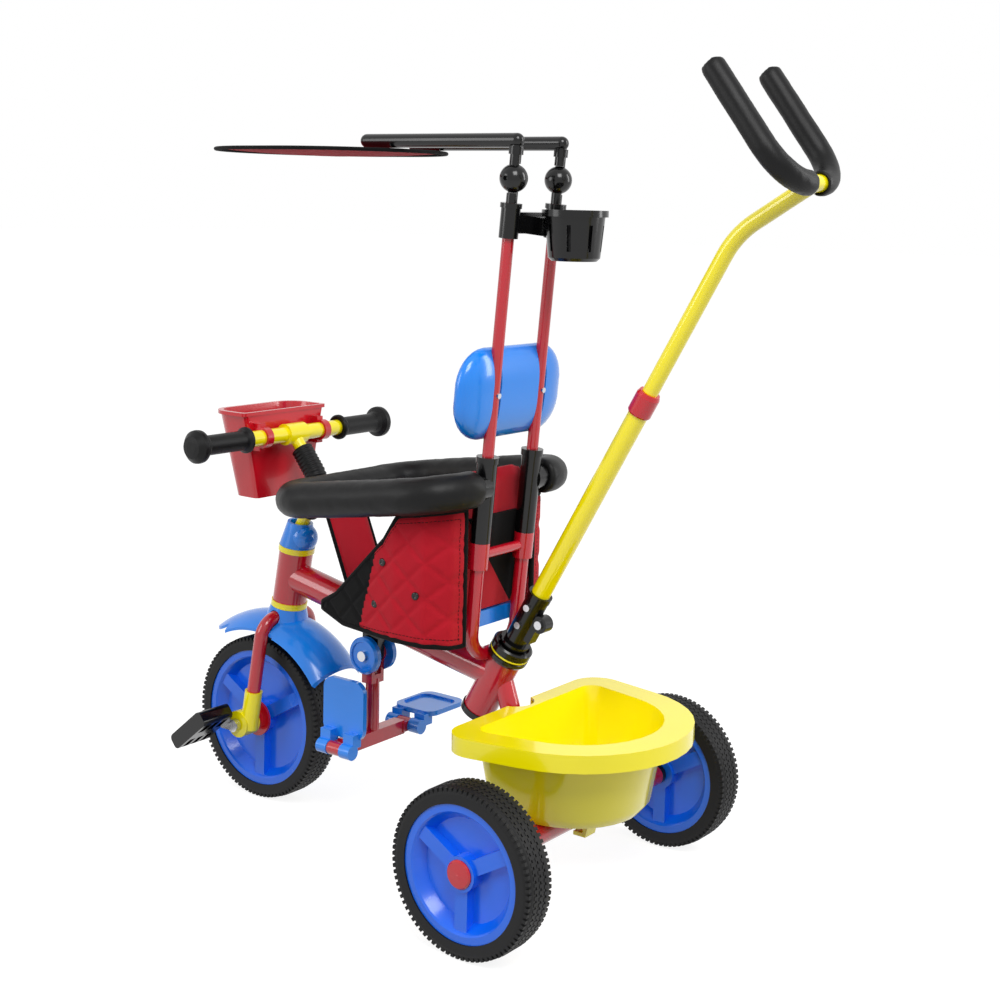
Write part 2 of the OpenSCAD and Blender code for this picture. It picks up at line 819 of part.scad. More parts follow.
module fender_plan() {
  translate([68, 0]) circle(r = 36);
  translate([-40, -45]) square([100, 90]);
  translate([58, -36]) square([10, 72]);
  intersection() {
    translate([-36, 0]) circle(r = 92);
    translate([-128, -52]) square([92, 104]);
  }
}

module fender() {
  crown = 62;
  t = 3;
  color("dodgerblue") difference() {
    union() {
      intersection() {
        translate(fender_at) rotate([90, 0, 0]) rotate([0, 0, 42]) rotate_extrude(angle = 104)
          translate([fender_r - crown, 0]) intersection() {
            difference() {
              circle(r = crown);
              circle(r = crown - t);
            }
            translate([crown - 24, -60]) square([60, 120]);
          }
        translate([fender_at.x, 0, 0]) linear_extrude(500) fender_plan();
      }
      in_steering() translate([0, 0, crown_s - 26])
        cylinder(r1 = 36, r2 = cup_ring_r, h = 26 - crown_s - head_len / 2 - cup_ring_h - gap);
    }
    in_steering() translate([0, 0, crown_s]) cylinder(r = steerer_r + snug, h = 80);
    fork_cut(1);
    translate(fender_at) cross_cylinder(fender_r - t - 20, 200);
  }
}

module head_cap() {
  low = head_len / 2 + cup_ring_h + gap;
  color("dodgerblue") in_steering() difference() {
    union() {
      translate([0, 0, low]) cylinder(r1 = head_r + 1, r2 = 18, h = 34);
      translate([-10, 0, low + 14]) sphere(r = 20);
    }
    translate([0, 0, low - 40]) cube([100, 100, 80], center = true);
    cylinder(r = steerer_r + snug, h = stem_low + snug);
    cylinder(r = stem_r + 5, h = 200);
  }
}

stem_r = 9;
stem_low = head_len / 2 + cup_ring_h + 24 + snug;

// Points of the rubber boot's middle line, on the stem's own line
boot_ribs = 20;
function stem_curve(t) = let (
    a = [0, stem_low], b = [-30, 142], c = [bar_ahead, bar_up],
    u = unit(a - b), w = unit(c - b),
    phi = acos(u * w), cut = 34 / tan(phi / 2),
    p = b + u * cut, q = b + w * cut,
    o = b + unit(u + w) * 34 / sin(phi / 2),
    arc_len = 34 * (180 - phi) * PI / 180,
    l1 = norm(p - a), l3 = norm(c - q),
    s = t * (l1 + arc_len + l3)
  )
  s < l1 ? a + unit(b - a) * s
  : s < l1 + arc_len ? let (
      turn = -(s - l1) / 34 * 180 / PI,
      v = p - o
    ) o + [v.x * cos(turn) - v.y * sin(turn), v.x * sin(turn) + v.y * cos(turn)]
  : q + unit(c - q) * (s - l1 - arc_len);
function stem_way(t) = unit(stem_curve(t + 0.01) - stem_curve(t - 0.01));

// A tube skin through rings of points, with an inner skin or with closed ends
module skin(rings, sides, inner) {
  n = len(rings);
  function quad(a, b, c, d) = [[a, b, c], [a, c, d]];
  hollow = len(inner) > 0;
  m = n * sides;
  last = (n - 1) * sides;
  faces = [
    for (k = [0:n - 2], i = [0:sides - 1]) let (j = (i + 1) % sides)
      each quad(k * sides + i, (k + 1) * sides + i, (k + 1) * sides + j, k * sides + j),
    if (hollow) for (k = [0:n - 2], i = [0:sides - 1]) let (j = (i + 1) % sides)
      each quad(m + k * sides + i, m + k * sides + j, m + (k + 1) * sides + j, m + (k + 1) * sides + i),
    if (hollow) for (i = [0:sides - 1]) let (j = (i + 1) % sides) each quad(i, j, m + j, m + i),
    if (hollow) for (i = [0:sides - 1]) let (j = (i + 1) % sides)
      each quad(last + i, m + last + i, m + last + j, last + j),
    if (!hollow) [for (i = [0:sides - 1]) i],
    if (!hollow) [for (i = [sides - 1:-1:0]) last + i]
  ];
  points = hollow ? concat([for (r = rings) each r], [for (r = inner) each r]) : [for (r = rings) each r];
  polyhedron(points, faces);
}

// One ring of points round the stem's line
function stem_ring(t, r, sides) = let (
    c = stem_curve(t),
    d = stem_way(t)
  ) [for (i = [0:sides - 1]) let (a = i * 360 / sides)
      [c.x - d.y * r * cos(a), -r * sin(a), c.y + d.x * r * cos(a)]];

boot_low = 0.17;
boot_high = 0.84;

module stem_boot() {
  sides = 16;
  n = 2 * boot_ribs;
  function at(k) = boot_low + (boot_high - boot_low) * k / n;
  color("black") in_steering() skin(
    [for (k = [0:n]) stem_ring(at(k), k % 2 == 0 ? 13.5 : 16.5, sides)], sides,
    [for (k = [0:n]) stem_ring(at(k), stem_r + 0.5, sides)]
  );
}

module in_bar() {
  in_steering() translate([bar_ahead, 0, bar_up]) children();
}

grip_len = 102;

module handlebar() {
  color("yellow") {
    in_bar() {
      cross_cylinder(bar_r, 2 * bar_half - 12);
      cross_cylinder(bar_r + 4, 36);
    }
    in_steering() skin([for (k = [0:16]) stem_ring(k / 16.2, stem_r, 16)], 16, []);
  }
}

module grips() {
  color("black") in_bar() for (side = [-1, 1]) translate([0, side * (bar_half - grip_len), 0])
    rotate([-90 * side, 0, 0]) rotate_extrude() polygon([
      [bar_r + snug, 0], [16, 0], [18, 2], [18, 5], [15, 8], [13.5, 12], [13.5, grip_len - 26],
      [16, grip_len - 20], [22, grip_len - 16], [22.5, grip_len - 12], [22, grip_len - 8],
      [15, grip_len - 1], [8, grip_len], [0, grip_len], [0, grip_len - 5], [bar_r + snug, grip_len - 5]
    ]);
}

basket_back = bar_r + 5;

module basket_plan(w, d, r) {
  hull() for (side = [-1, 1]) {
    translate([6, side * (w / 2 - 6)]) circle(r = 6, $fn = HULL_FN);
    translate([d - r, side * (w / 2 - r)]) circle(r = r, $fn = HULL_FN);
  }
}

module basket_loft(inset, low, high) {
  hull() {
    translate([inset, 0, low]) linear_extrude(0.1) basket_plan(basket_w - 50 - 2 * inset, basket_d - 18 - 2 * inset, 18);
    translate([inset, 0, high]) linear_extrude(0.1) basket_plan(basket_w - 2 * inset, basket_d - 2 * inset, 30);
  }
}

module front_basket() {
  strap_y = 57;
  color("red") in_bar() difference() {
    union() {
      rotate([0, head_tilt, 0]) translate([basket_back, 0, 34 - basket_h]) {
        basket_loft(0, 0, basket_h - 0.1);
        translate([-1.5, 0, basket_h - 5]) linear_extrude(5) basket_plan(basket_w + 6, basket_d + 4, 32);
      }
      for (side = [-1, 1]) translate([0, side * strap_y, 0]) {
        cross_cylinder(bar_r + 3.5, 11);
        rotate([0, head_tilt, 0]) translate([3, -5.5, -19]) cube([basket_back, 11, 38]);
      }
    }
    rotate([0, head_tilt, 0]) translate([basket_back, 0, 34 - basket_h]) basket_loft(wall, wall, basket_h + 1);
    cross_cylinder(bar_r + snug, 400);
  }
}

// Front wheel and pedals

pin_y = fork_y + 13 + 8;
pedal_len = 54;

module crank_axle() {
  color("silver") at_front_axle() {
    cross_cylinder(crank_axle_r, 2 * pin_y);
    for (side = [-1, 1]) translate([0, side * (pin_y - 6), 0]) {
      side_cylinder(9, 8, side);
      translate([side > 0 ? 0 : -crank_r, side > 0 ? 0 : -8, -7]) cube([crank_r, 8, 14]);
      translate([side * crank_r, 0, 0]) {
        side_cylinder(7, 8, side);
        side_cylinder(4, pedal_len, side);
      }
    }
  }
}

module pedal(side) {
  long = 76;
  thick = 22;
  in_y = pin_y + 2 + gap;
  tilt = 40;
  color("black") at_front_axle() translate([side * crank_r, 0, 0]) rotate([0, tilt, 0]) difference() {
    translate([0, side * (in_y + pedal_len / 2), 0]) rotate([90, 0, 0]) linear_extrude(pedal_len, center = true)
      union() {
        square([long - 14, thick], center = true);
        square([long, thick - 14], center = true);
        for (x = [-1, 1], z = [-1, 1]) translate([x * (long / 2 - 7), z * (thick / 2 - 7)]) circle(r = 7);
      }
    for (x = [-1, 1], i = [0:2]) translate([x * 21, side * (in_y + 11 + i * 16), 0])
      cube([22, 10, thick + 2], center = true);
    translate([0, side * (in_y - 1), 0]) side_cylinder(4 + run, pedal_len - 4, side);
  }
}

// A tyre on the Y axis with a ribbed tread and round shoulders
module tyre(r, w) {
  seat = r - tyre_depth;
  s = 9;
  half = w / 2;
  rotate([90, 0, 0]) rotate_extrude($fn = 96) difference() {
    union() {
      translate([seat, -half]) square([tyre_depth - s, w]);
      translate([seat, -half + s]) square([tyre_depth, w - 2 * s]);
      for (e = [-1, 1]) translate([r - s, e * (half - s)]) circle(r = s);
    }
    for (y = [-9, 0, 9]) translate([r - 1.5, y - 1]) square([4, 2]);
    translate([seat - 1, -half + 5]) square([4 + snug, w - 10]);
  }
}

// A moulded wheel disc on the Y axis with ribs, a flanged rim and a hub bored for its axle
module wheel_disc(r, w, hub_r, bore_r, ribs) {
  rim = r - tyre_depth;
  half = w / 2;
  web = 4;
  difference() {
    union() {
      rotate([90, 0, 0]) rotate_extrude($fn = 96) {
        polygon([
          [hub_r - 1, -web], [rim - 20, -web], [rim - 11, -half + 4], [rim - 9, -half + 2],
          [rim - snug, -half + 2], [rim - snug, -half + 5 + snug], [rim + 3, -half + 5 + snug],
          [rim + 3, half - 5 - snug], [rim - snug, half - 5 - snug], [rim - snug, half - 2],
          [rim - 9, half - 2], [rim - 11, half - 4], [rim - 20, web], [hub_r - 1, web]
        ]);
        translate([0, -half + 2]) square([hub_r, w - 4]);
      }
      for (i = [0:ribs - 1]) rotate([0, 90 + i * 360 / ribs, 0])
        translate([hub_r - 2, -half + 6, -9]) cube([rim - hub_r - 8, w - 12, 18]);
    }
    cross_cylinder(bore_r, w + 2);
  }
}

hub_flange_r = 25;

module front_disc() {
  color("dodgerblue") at_front_axle()
    wheel_disc(front_r, tyre_w, 21, crank_axle_r + snug, 3);
}

module front_tyre() {
  color("black") at_front_axle() tyre(front_r, tyre_w);
}

module front_hub() {
  inner = hub_half + gap - 0.3;
  color("red") at_front_axle() for (side = [-1, 1]) difference() {
    translate([0, side * inner, 0]) {
      side_cylinder(hub_flange_r, 4, side);
      side_cylinder(14, fork_y - 13 - inner - gap, side);
    }
    cross_cylinder(crank_axle_r + snug, 200);
  }
}

// Rear wheels

cap_r = 17;

module rear_disc(side) {
  color("dodgerblue") at_rear_wheel(side) difference() {
    wheel_disc(rear_r, tyre_w, 21, axle_rod_r + run, 3);
    translate([0, side * (hub_half - 4), 0]) side_cylinder(cap_r + snug, 20, side);
  }
}

module rear_tyre(side) {
  color("black") at_rear_wheel(side) tyre(rear_r, tyre_w);
}

module rear_cap(side) {
  color("red") at_rear_wheel(side) translate([0, side * (hub_half - 4 + gap), 0]) rotate([-90 * side, 0, 0])
    rotate_extrude() polygon([[0, 0], [cap_r, 0], [cap_r, 5], [cap_r - 2, 7], [0, 8]]);
}

// Canopy

module canopy_arms() {
  color("black") {
    in_posts() for (side = [-1, 1]) translate([0, side * post_y, hinge_s]) difference() {
      union() {
        sphere(r = ball_r);
        cylinder(r = stub_r, h = elbow_s - hinge_s);
        translate([0, 0, elbow_s - hinge_s - 17]) cylinder(r = stub_r + 2, h = 10);
      }
      translate([0, -side * ball_r, 0]) cube([4 * ball_r, 2 * ball_r + 3 * gap, 2 * ball_r + 1], center = true);
      cross_cylinder(3 + run, 60);
    }
    for (side = [-1, 1]) translate([arm_x, side * post_y, arm_z]) {
      rotate([0, 90, 0]) cylinder(r = arm_r, h = arm_len);
      sphere(r = arm_r);
      translate([arm_len, 0, 0]) sphere(r = arm_r);
    }
  }
}

module canopy_plan(inset) {
  r = canopy_half_w - inset;
  half = canopy_len / 2 - canopy_half_w;
  square([2 * half, 2 * r], center = true);
  for (end = [-1, 1]) translate([end * half, 0]) circle(r = r);
}

module canopy_hoop() {
  half = canopy_len / 2 - canopy_half_w;
  color("black") translate([canopy_x, 0, canopy_z]) {
    for (end = [-1, 1]) translate([end * half, 0, 0]) rotate([0, 0, end * 90 - 180])
      rotate_extrude(angle = 180) translate([canopy_half_w, 0]) circle(r = hoop_wire_r);
    for (side = [-1, 1]) translate([0, side * canopy_half_w, 0]) rotate([0, 90, 0])
      cylinder(r = hoop_wire_r, h = 2 * half, center = true);
  }
}

module canopy_fabric() {
  color("red") translate([canopy_x, 0, canopy_z + hoop_wire_r - fabric_t]) linear_extrude(fabric_t)
    canopy_plan(hoop_wire_r + snug);
}

// Push handle

tube_low = 62;

module push_socket() {
  color("black") in_handle() difference() {
    union() {
      translate([0, 0, -rear_tube_down + gap]) cylinder(r = shaft_r, h = rear_tube_down + socket_low);
      translate([0, 0, socket_low]) cylinder(r = 20, h = 6);
      translate([0, 0, socket_low]) cylinder(r = socket_r, h = socket_top - socket_low);
      translate([0, 0, socket_top - 8]) cylinder(r = socket_r + 1, h = 8);
      translate([-22, 0, 100]) cross_cylinder(11, 16);
      translate([-22, -8, 68]) cube([20, 16, 34]);
    }
    translate([0, 0, tube_low]) cylinder(r = lower_r + snug, h = 100);
  }
}

module socket_bolts() {
  color("silver") in_handle() {
    for (z = [84, 112]) translate([0, 0, z]) difference() {
      translate([0, socket_r - 1, 0]) side_cylinder(4.5, 4, 1);
      cylinder(r = socket_r, h = 20, center = true);
    }
    for (side = [-1, 1]) translate([-22, side * 8, 100]) side_cylinder(5.5, 3, side);
  }
}

module push_tube_lower() {
  color("yellow") in_handle() difference() {
    translate([0, 0, tube_low]) cylinder(r = lower_r, h = lower_top - tube_low);
    translate([0, 0, tube_low + 2]) cylinder(r = upper_r + gap, h = lower_top);
  }
}

module push_clamp() {
  color("red") in_handle() difference() {
    translate([0, 0, lower_top - 15]) rotate_extrude() polygon([
      [0, 0], [socket_r - 1, 0], [socket_r, 2], [socket_r, 26], [socket_r - 2, 31], [0, 31]
    ]);
    translate([0, 0, lower_top - 16]) cylinder(r = lower_r + snug, h = 16 + snug);
    translate([0, 0, lower_top - 1]) cylinder(r = upper_r + run, h = 40);
  }
}

tube_bend = 110;
bend_cut = tube_bend * tan(bend_deg / 2);
tube_insert = 150;

// The frame past the bend of the upper tube, with its z along the tube
module past_bend() {
  in_handle() translate([0, 0, bend_s]) rotate([0, -bend_deg, 0]) children();
}

// The frame of the bow: x along the horns, y along its base
module in_bow() {
  translate(bow_at) rotate([0, -bow_rise, 0]) children();
}

module bow_line(r) {
  w = bow_half_w;
  in_bow() bent_rod([[horn_len, w, 0], [0, w, 0], [0, -w, 0], [horn_len, -w, 0]], r, bow_bend);
}

module push_tube_upper() {
  steps = 8;
  arc = [for (k = [0:steps]) let (a = k * bend_deg / steps)
    [-tube_bend * (1 - cos(a)), 0, bend_s - bend_cut + tube_bend * sin(a)]];
  color("yellow") {
    in_handle() {
      translate([0, 0, lower_top - tube_insert]) cylinder(r = upper_r, h = arc[0].z - lower_top + tube_insert);
      for (k = [0:steps - 1]) rod(arc[k], arc[k + 1], upper_r);
      for (k = [0:steps]) translate(arc[k]) sphere(r = upper_r + 0.06);
    }
    past_bend() translate([0, 0, bend_cut]) cylinder(r = upper_r, h = bow_stem - bend_cut);
    bow_line(upper_r + 0.2);
  }
}

module push_grips() {
  split = upper_r + 1;
  color("black") difference() {
    union() {
      bow_line(grip_r);
      in_bow() for (side = [-1, 1]) translate([horn_len, side * bow_half_w, 0])
        rotate([0, 90, 0]) cylinder(r = grip_r - 1, h = 4);
    }
    bow_line(upper_r + 0.2 + gap);
    translate(bow_at) cube([80, 2 * split, 80], center = true);
  }
}

placed() main_tube();
placed() rear_frame();
placed() back_hoop();
placed() head_cups();
placed() steer_collar();
placed() rear_tube_cap();
placed() rear_axle();
placed() axle_bushes();
placed() post_sockets();
placed() canopy_posts();
placed() headrest();
placed() headrest_screws();
placed() cup_bracket();
placed() cup_holder();
placed() canopy_hinge_bases();
placed() seat_base();
placed() seat_bracket();
placed() seat_back();
placed() seat_pad();
placed() back_pad();
placed() side_panels();
placed() crotch_strap();
placed() guard_ring_tube();
placed() guard_ring_foam();
placed() bucket();
placed() footrest_bracket();
placed() footrest_bolt();
placed() fork();
placed() fork_ends();
placed() fender();
placed() head_cap();
placed() stem_boot();
placed() handlebar();
placed() grips();
placed() front_basket();
placed() crank_axle();
placed() front_disc();
placed() front_tyre();
placed() front_hub();
placed() pedal(1);  // pedal_left
placed() pedal(-1);  // pedal_right
placed() rear_disc(1);  // left_disc
placed() rear_tyre(1);  // left_tyre
placed() rear_cap(1);  // left_cap
placed() rear_disc(-1);  // right_disc
placed() rear_tyre(-1);  // right_tyre
placed() rear_cap(-1);  // right_cap
placed() canopy_arms();
placed() canopy_hoop();
placed() canopy_fabric();
placed() footrest_stem();
placed() footrest_discs();
placed() footplate_left();
placed() footplate_right();
placed() push_socket();
placed() socket_bolts();
placed() push_tube_lower();
placed() push_clamp();
placed() push_tube_upper();
placed() push_grips();
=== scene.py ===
# %% [markdown]
# # A toddler's push-along trike
# The solids come from the CAD model, already in place and in metres. Blender only dresses
# them: better materials, soft pieces that look sewn, treads and stitches.

# %% Load the frame
import bpy, bmesh, json, math
from mathutils import Matrix, Vector, noise


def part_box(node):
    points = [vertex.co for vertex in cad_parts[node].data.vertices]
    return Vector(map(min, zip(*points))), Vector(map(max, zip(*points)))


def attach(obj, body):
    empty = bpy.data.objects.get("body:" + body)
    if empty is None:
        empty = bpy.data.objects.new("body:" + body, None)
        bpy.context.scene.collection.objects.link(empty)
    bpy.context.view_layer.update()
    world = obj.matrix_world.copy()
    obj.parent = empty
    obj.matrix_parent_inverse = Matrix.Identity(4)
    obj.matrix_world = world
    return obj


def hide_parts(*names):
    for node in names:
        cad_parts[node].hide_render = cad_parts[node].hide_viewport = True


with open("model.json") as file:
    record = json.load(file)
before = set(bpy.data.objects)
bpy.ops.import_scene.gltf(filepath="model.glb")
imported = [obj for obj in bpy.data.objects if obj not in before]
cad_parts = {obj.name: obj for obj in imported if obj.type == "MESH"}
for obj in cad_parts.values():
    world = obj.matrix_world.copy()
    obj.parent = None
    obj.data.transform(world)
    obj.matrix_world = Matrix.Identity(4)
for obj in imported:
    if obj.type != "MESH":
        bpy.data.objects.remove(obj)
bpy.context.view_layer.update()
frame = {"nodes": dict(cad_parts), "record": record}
nodes = frame["nodes"]
scene = bpy.context.scene
ORIGIN_X = 175.756  # where the scene's origin lies in the drawing, mm ahead of the rear axle


def spot(x, y, z):
    """A point given in the drawing's millimetres, rear axle at x = 0, as scene metres."""
    return Vector(((x - ORIGIN_X) / 1000, y / 1000, z / 1000))


# %% [markdown]
# ## Camera
# A product photographer stands behind the trike, a little above the seat, and uses a medium
# lens. The numbers were solved from points on the wheels, posts and bars, so the render can be
# laid over the photograph. A small shift keeps the trike in the same part of the frame.

# %% Camera
AZIMUTH, ELEVATION, ROLL = (math.radians(a) for a in (216.23, 5.36, 1.36))
CAMERA_AT = spot(-1099.9, 1635.7, 860.6)
back = Vector((math.sin(AZIMUTH) * math.cos(ELEVATION),
               -math.cos(AZIMUTH) * math.cos(ELEVATION),
               math.sin(ELEVATION)))
right = Vector((0, 0, 1)).cross(back).normalized()
up = back.cross(right)
side = right * math.cos(ROLL) + up * math.sin(ROLL)
top = up * math.cos(ROLL) - right * math.sin(ROLL)
lens = bpy.data.cameras.new("camera")
lens.sensor_width = 36
lens.lens = 58.45
lens.shift_x, lens.shift_y = -0.0239, -0.1446
camera = bpy.data.objects.new("camera", lens)
scene.collection.objects.link(camera)
facing = Matrix((side, top, back)).transposed().to_4x4()
camera.matrix_world = Matrix.Translation(CAMERA_AT) @ facing
scene.camera = camera
scene.view_settings.view_transform = "Standard"
print("camera at", [round(v, 2) for v in camera.location])

# %% [markdown]
# ## Floor, world and lamps
# The photograph has a bare white ground. If lamps alone made the floor white, they would burn
# out the yellow bucket as well. So the floor and the world show white only to the rays that
# the camera, a mirror or glass sends, and the trike is lit at a plain level.

# %% Floor, world and lamps
ROOM_LIGHT = 0.5  # the world's strength as the trike sees it
PAPER_GREY, PAPER_GLOW = 0.34, 0.85  # together they show as white
FLOOR_Z, FLOOR_REACH = -0.0014, 30  # the floor lies clear of the tread blocks


def seen_directly(tree):
    """1 for camera, glossy and transmission rays, else 0."""
    path = tree.nodes.new("ShaderNodeLightPath")
    first = tree.nodes.new("ShaderNodeMath")
    first.operation = "MAXIMUM"
    tree.links.new(path.outputs["Is Camera Ray"], first.inputs[0])
    tree.links.new(path.outputs["Is Glossy Ray"], first.inputs[1])
    second = tree.nodes.new("ShaderNodeMath")
    second.operation = "MAXIMUM"
    tree.links.new(first.outputs[0], second.inputs[0])
    tree.links.new(path.outputs["Is Transmission Ray"], second.inputs[1])
    return second.outputs[0]


world = bpy.data.worlds.new("studio")
scene.world = world
world.use_nodes = True
tree = world.node_tree
room = tree.nodes["Background"]
room.inputs["Color"].default_value = (1, 1, 1, 1)
room.inputs["Strength"].default_value = ROOM_LIGHT
white = tree.nodes.new("ShaderNodeBackground")
white.inputs["Color"].default_value = (1, 1, 1, 1)
white.inputs["Strength"].default_value = 1.0
choose = tree.nodes.new("ShaderNodeMixShader")
tree.links.new(seen_directly(tree), choose.inputs[0])
tree.links.new(room.outputs[0], choose.inputs[1])
tree.links.new(white.outputs[0], choose.inputs[2])
tree.links.new(choose.outputs[0], tree.nodes["World Output"].inputs["Surface"])

paper = bpy.data.materials.new("paper_floor")
paper.use_nodes = True
tree = paper.node_tree
tree.nodes.remove(tree.nodes["Principled BSDF"])
matt = tree.nodes.new("ShaderNodeBsdfDiffuse")
matt.inputs["Color"].default_value = (PAPER_GREY, PAPER_GREY, PAPER_GREY, 1)
glow = tree.nodes.new("ShaderNodeEmission")
strength = tree.nodes.new("ShaderNodeMath")
strength.operation = "MULTIPLY"
strength.inputs[1].default_value = PAPER_GLOW
tree.links.new(seen_directly(tree), strength.inputs[0])
tree.links.new(strength.outputs[0], glow.inputs["Strength"])
both = tree.nodes.new("ShaderNodeAddShader")
tree.links.new(matt.outputs[0], both.inputs[0])
tree.links.new(glow.outputs[0], both.inputs[1])
tree.links.new(both.outputs[0], tree.nodes["Material Output"].inputs["Surface"])

ground = bpy.data.meshes.new("floor")
floor_corners = [(x * FLOOR_REACH, y * FLOOR_REACH, FLOOR_Z)
                 for x, y in ((-1, -1), (1, -1), (1, 1), (-1, 1))]
ground.from_pydata(floor_corners, [], [(0, 1, 2, 3)])
ground.materials.append(paper)
floor = bpy.data.objects.new("floor", ground)
scene.collection.objects.link(floor)


def softbox(name, place, aim, size, power):
    """A rectangular lamp at a place, turned to face the aim."""
    lamp = bpy.data.lights.new(name, "AREA")
    lamp.shape = "RECTANGLE"
    lamp.size, lamp.size_y = size
    lamp.energy = power
    holder = bpy.data.objects.new(name, lamp)
    scene.collection.objects.link(holder)
    holder.location = place
    holder.rotation_euler = (Vector(aim) - Vector(place)).to_track_quat("-Z", "Y").to_euler()


softbox("key", (-1.6, 1.3, 2.6), (0, 0, 0.4), (1.3, 1.3), 52)
softbox("left_fill", (1.6, 2.4, 1.5), (0.1, 0, 0.4), (1.2, 1.6), 26)
softbox("right_strip", (-1.9, -1.6, 1.4), (0, 0, 0.4), (0.5, 1.8), 22)
print("floor, world and three softboxes made")

# %% [markdown]
# ## Shared surface effects
# Several finishes share the same small faults: moulded plastic is never quite flat, paint has
# orange peel, cloth is woven. Each effect is a node group, built once, with named inputs. A
# group only gives masks and heights; the shader itself stays in each material.

# %% Shared surface effects
def effect_group(name, inputs, outputs):
    """An empty shader group with number sockets, and its input and output nodes."""
    group = bpy.data.node_groups.new(name, "ShaderNodeTree")
    add = group.interface.new_socket
    for label, value in inputs.items():
        socket = add(name=label, in_out="INPUT", socket_type="NodeSocketFloat")
        socket.default_value = value
    for label in outputs:
        add(name=label, in_out="OUTPUT", socket_type="NodeSocketFloat")
    return group, group.nodes.new("NodeGroupInput"), group.nodes.new("NodeGroupOutput")


def math_node(tree, operation, a, b=None):
    """One step of arithmetic on values, each a number or another node's output."""
    node = tree.nodes.new("ShaderNodeMath")
    node.operation = operation
    for k, value in enumerate((a, b)):
        if isinstance(value, (int, float)):
            node.inputs[k].default_value = value
        elif value is not None:
            tree.links.new(value, node.inputs[k])
    return node.outputs[0]


def noise_at(tree, scale, detail=2.0):
    """Noise over the piece's own coordinates; the scale is a number or an output."""
    place = tree.nodes.new("ShaderNodeTexCoord")
    node = tree.nodes.new("ShaderNodeTexNoise")
    node.inputs["Detail"].default_value = detail
    tree.links.new(place.outputs["Object"], node.inputs["Vector"])
    if isinstance(scale, (int, float)):
        node.inputs["Scale"].default_value = scale
    else:
        tree.links.new(scale, node.inputs["Scale"])
    return node.outputs["Fac"]


# Uneven surface: slow waves, fine grain and a mask of handling marks.
uneven, given, out = effect_group(
    "uneven_surface",
    {"Wave scale": 30.0, "Grain scale": 900.0, "Grain share": 0.3},
    ("Height", "Marks"))
wave = noise_at(uneven, given.outputs["Wave scale"])
grain = noise_at(uneven, given.outputs["Grain scale"])
grain = math_node(uneven, "MULTIPLY", grain, given.outputs["Grain share"])
uneven.links.new(math_node(uneven, "ADD", wave, grain), out.inputs["Height"])
marks = math_node(uneven, "POWER", noise_at(uneven, 11.0, 6.0), 3.0)
uneven.links.new(marks, out.inputs["Marks"])

# Woven cloth: two crossed sets of threads and a slow mask of fading.
woven, given, out = effect_group("woven_cloth", {"Threads": 4200.0}, ("Height", "Fade"))
place = woven.nodes.new("ShaderNodeTexCoord")
parts = woven.nodes.new("ShaderNodeSeparateXYZ")
woven.links.new(place.outputs["Object"], parts.inputs[0])


def threads(lean):
    """A wave whose crests are the threads of one set."""
    return math_node(woven, "SINE", math_node(woven, "MULTIPLY", lean, given.outputs["Threads"]))


warp = threads(math_node(woven, "ADD", parts.outputs["X"], parts.outputs["Y"]))
half_y = math_node(woven, "MULTIPLY", parts.outputs["Y"], 0.5)
weft = threads(math_node(woven, "ADD", parts.outputs["Z"], half_y))
woven.links.new(math_node(woven, "MULTIPLY", warp, weft), out.inputs["Height"])
woven.links.new(noise_at(woven, 18.0, 4.0), out.inputs["Fade"])
print("shader groups:", [g.name for g in bpy.data.node_groups])

# %% [markdown]
# ## Finishes
# The trike has few materials: glossy moulded plastic, sprayed paint on tube, bare steel, soft
# black foam, hard tyre foam and sewn cloth. A finish takes a colour, how rough it is, and one
# shared effect. The effect darkens, roughens and dents the surface a little, so no face is a
# single flat colour.

# %% Finishes
FINISH = "_finish"
COAT_ROUGH = 0.06


def linear(red, green, blue):
    """A colour picked in screen values from 0 to 255, as the linear values a shader wants."""
    def one(v):
        return (v / 255 / 12.92) if v < 11 else ((v / 255 + 0.055) / 1.055) ** 2.4
    return one(red), one(green), one(blue), 1


def finish(name, colour, rough, effect, values, mask, swing=0.12, dent=0.05, depth=0.0005,
           metal=0.0, coat=0.0, sheen=0.0, shine=0.5):
    """A material whose colour and roughness swing with the effect's mask."""
    material = bpy.data.materials.new(name + FINISH)
    material.use_nodes = True
    tree = material.node_tree
    shader = tree.nodes["Principled BSDF"]
    shader.inputs["Metallic"].default_value = metal
    shader.inputs["Coat Weight"].default_value = coat
    shader.inputs["Coat Roughness"].default_value = COAT_ROUGH
    shader.inputs["Sheen Weight"].default_value = sheen
    shader.inputs["Specular IOR Level"].default_value = shine
    node = tree.nodes.new("ShaderNodeGroup")
    node.node_tree = effect
    for label, value in values.items():
        node.inputs[label].default_value = value
    blend = tree.nodes.new("ShaderNodeMix")
    blend.data_type = "RGBA"
    blend.inputs["A"].default_value = colour
    blend.inputs["B"].default_value = tuple(c * (1 - 2 * swing) for c in colour[:3]) + (1,)
    tree.links.new(node.outputs[mask], blend.inputs["Factor"])
    tree.links.new(blend.outputs["Result"], shader.inputs["Base Color"])
    worn = math_node(tree, "MULTIPLY", node.outputs[mask], swing)
    tree.links.new(math_node(tree, "ADD", worn, rough), shader.inputs["Roughness"])
    bump = tree.nodes.new("ShaderNodeBump")
    bump.inputs["Strength"].default_value = dent
    bump.inputs["Distance"].default_value = depth
    tree.links.new(node.outputs["Height"], bump.inputs["Height"])
    tree.links.new(bump.outputs["Normal"], shader.inputs["Normal"])
    return material


moulded = {"Wave scale": 26.0, "Grain scale": 700.0, "Grain share": 0.15}
sprayed = {"Wave scale": 40.0, "Grain scale": 500.0, "Grain share": 0.04}
foamed = {"Wave scale": 420.0, "Grain scale": 1900.0, "Grain share": 0.6}


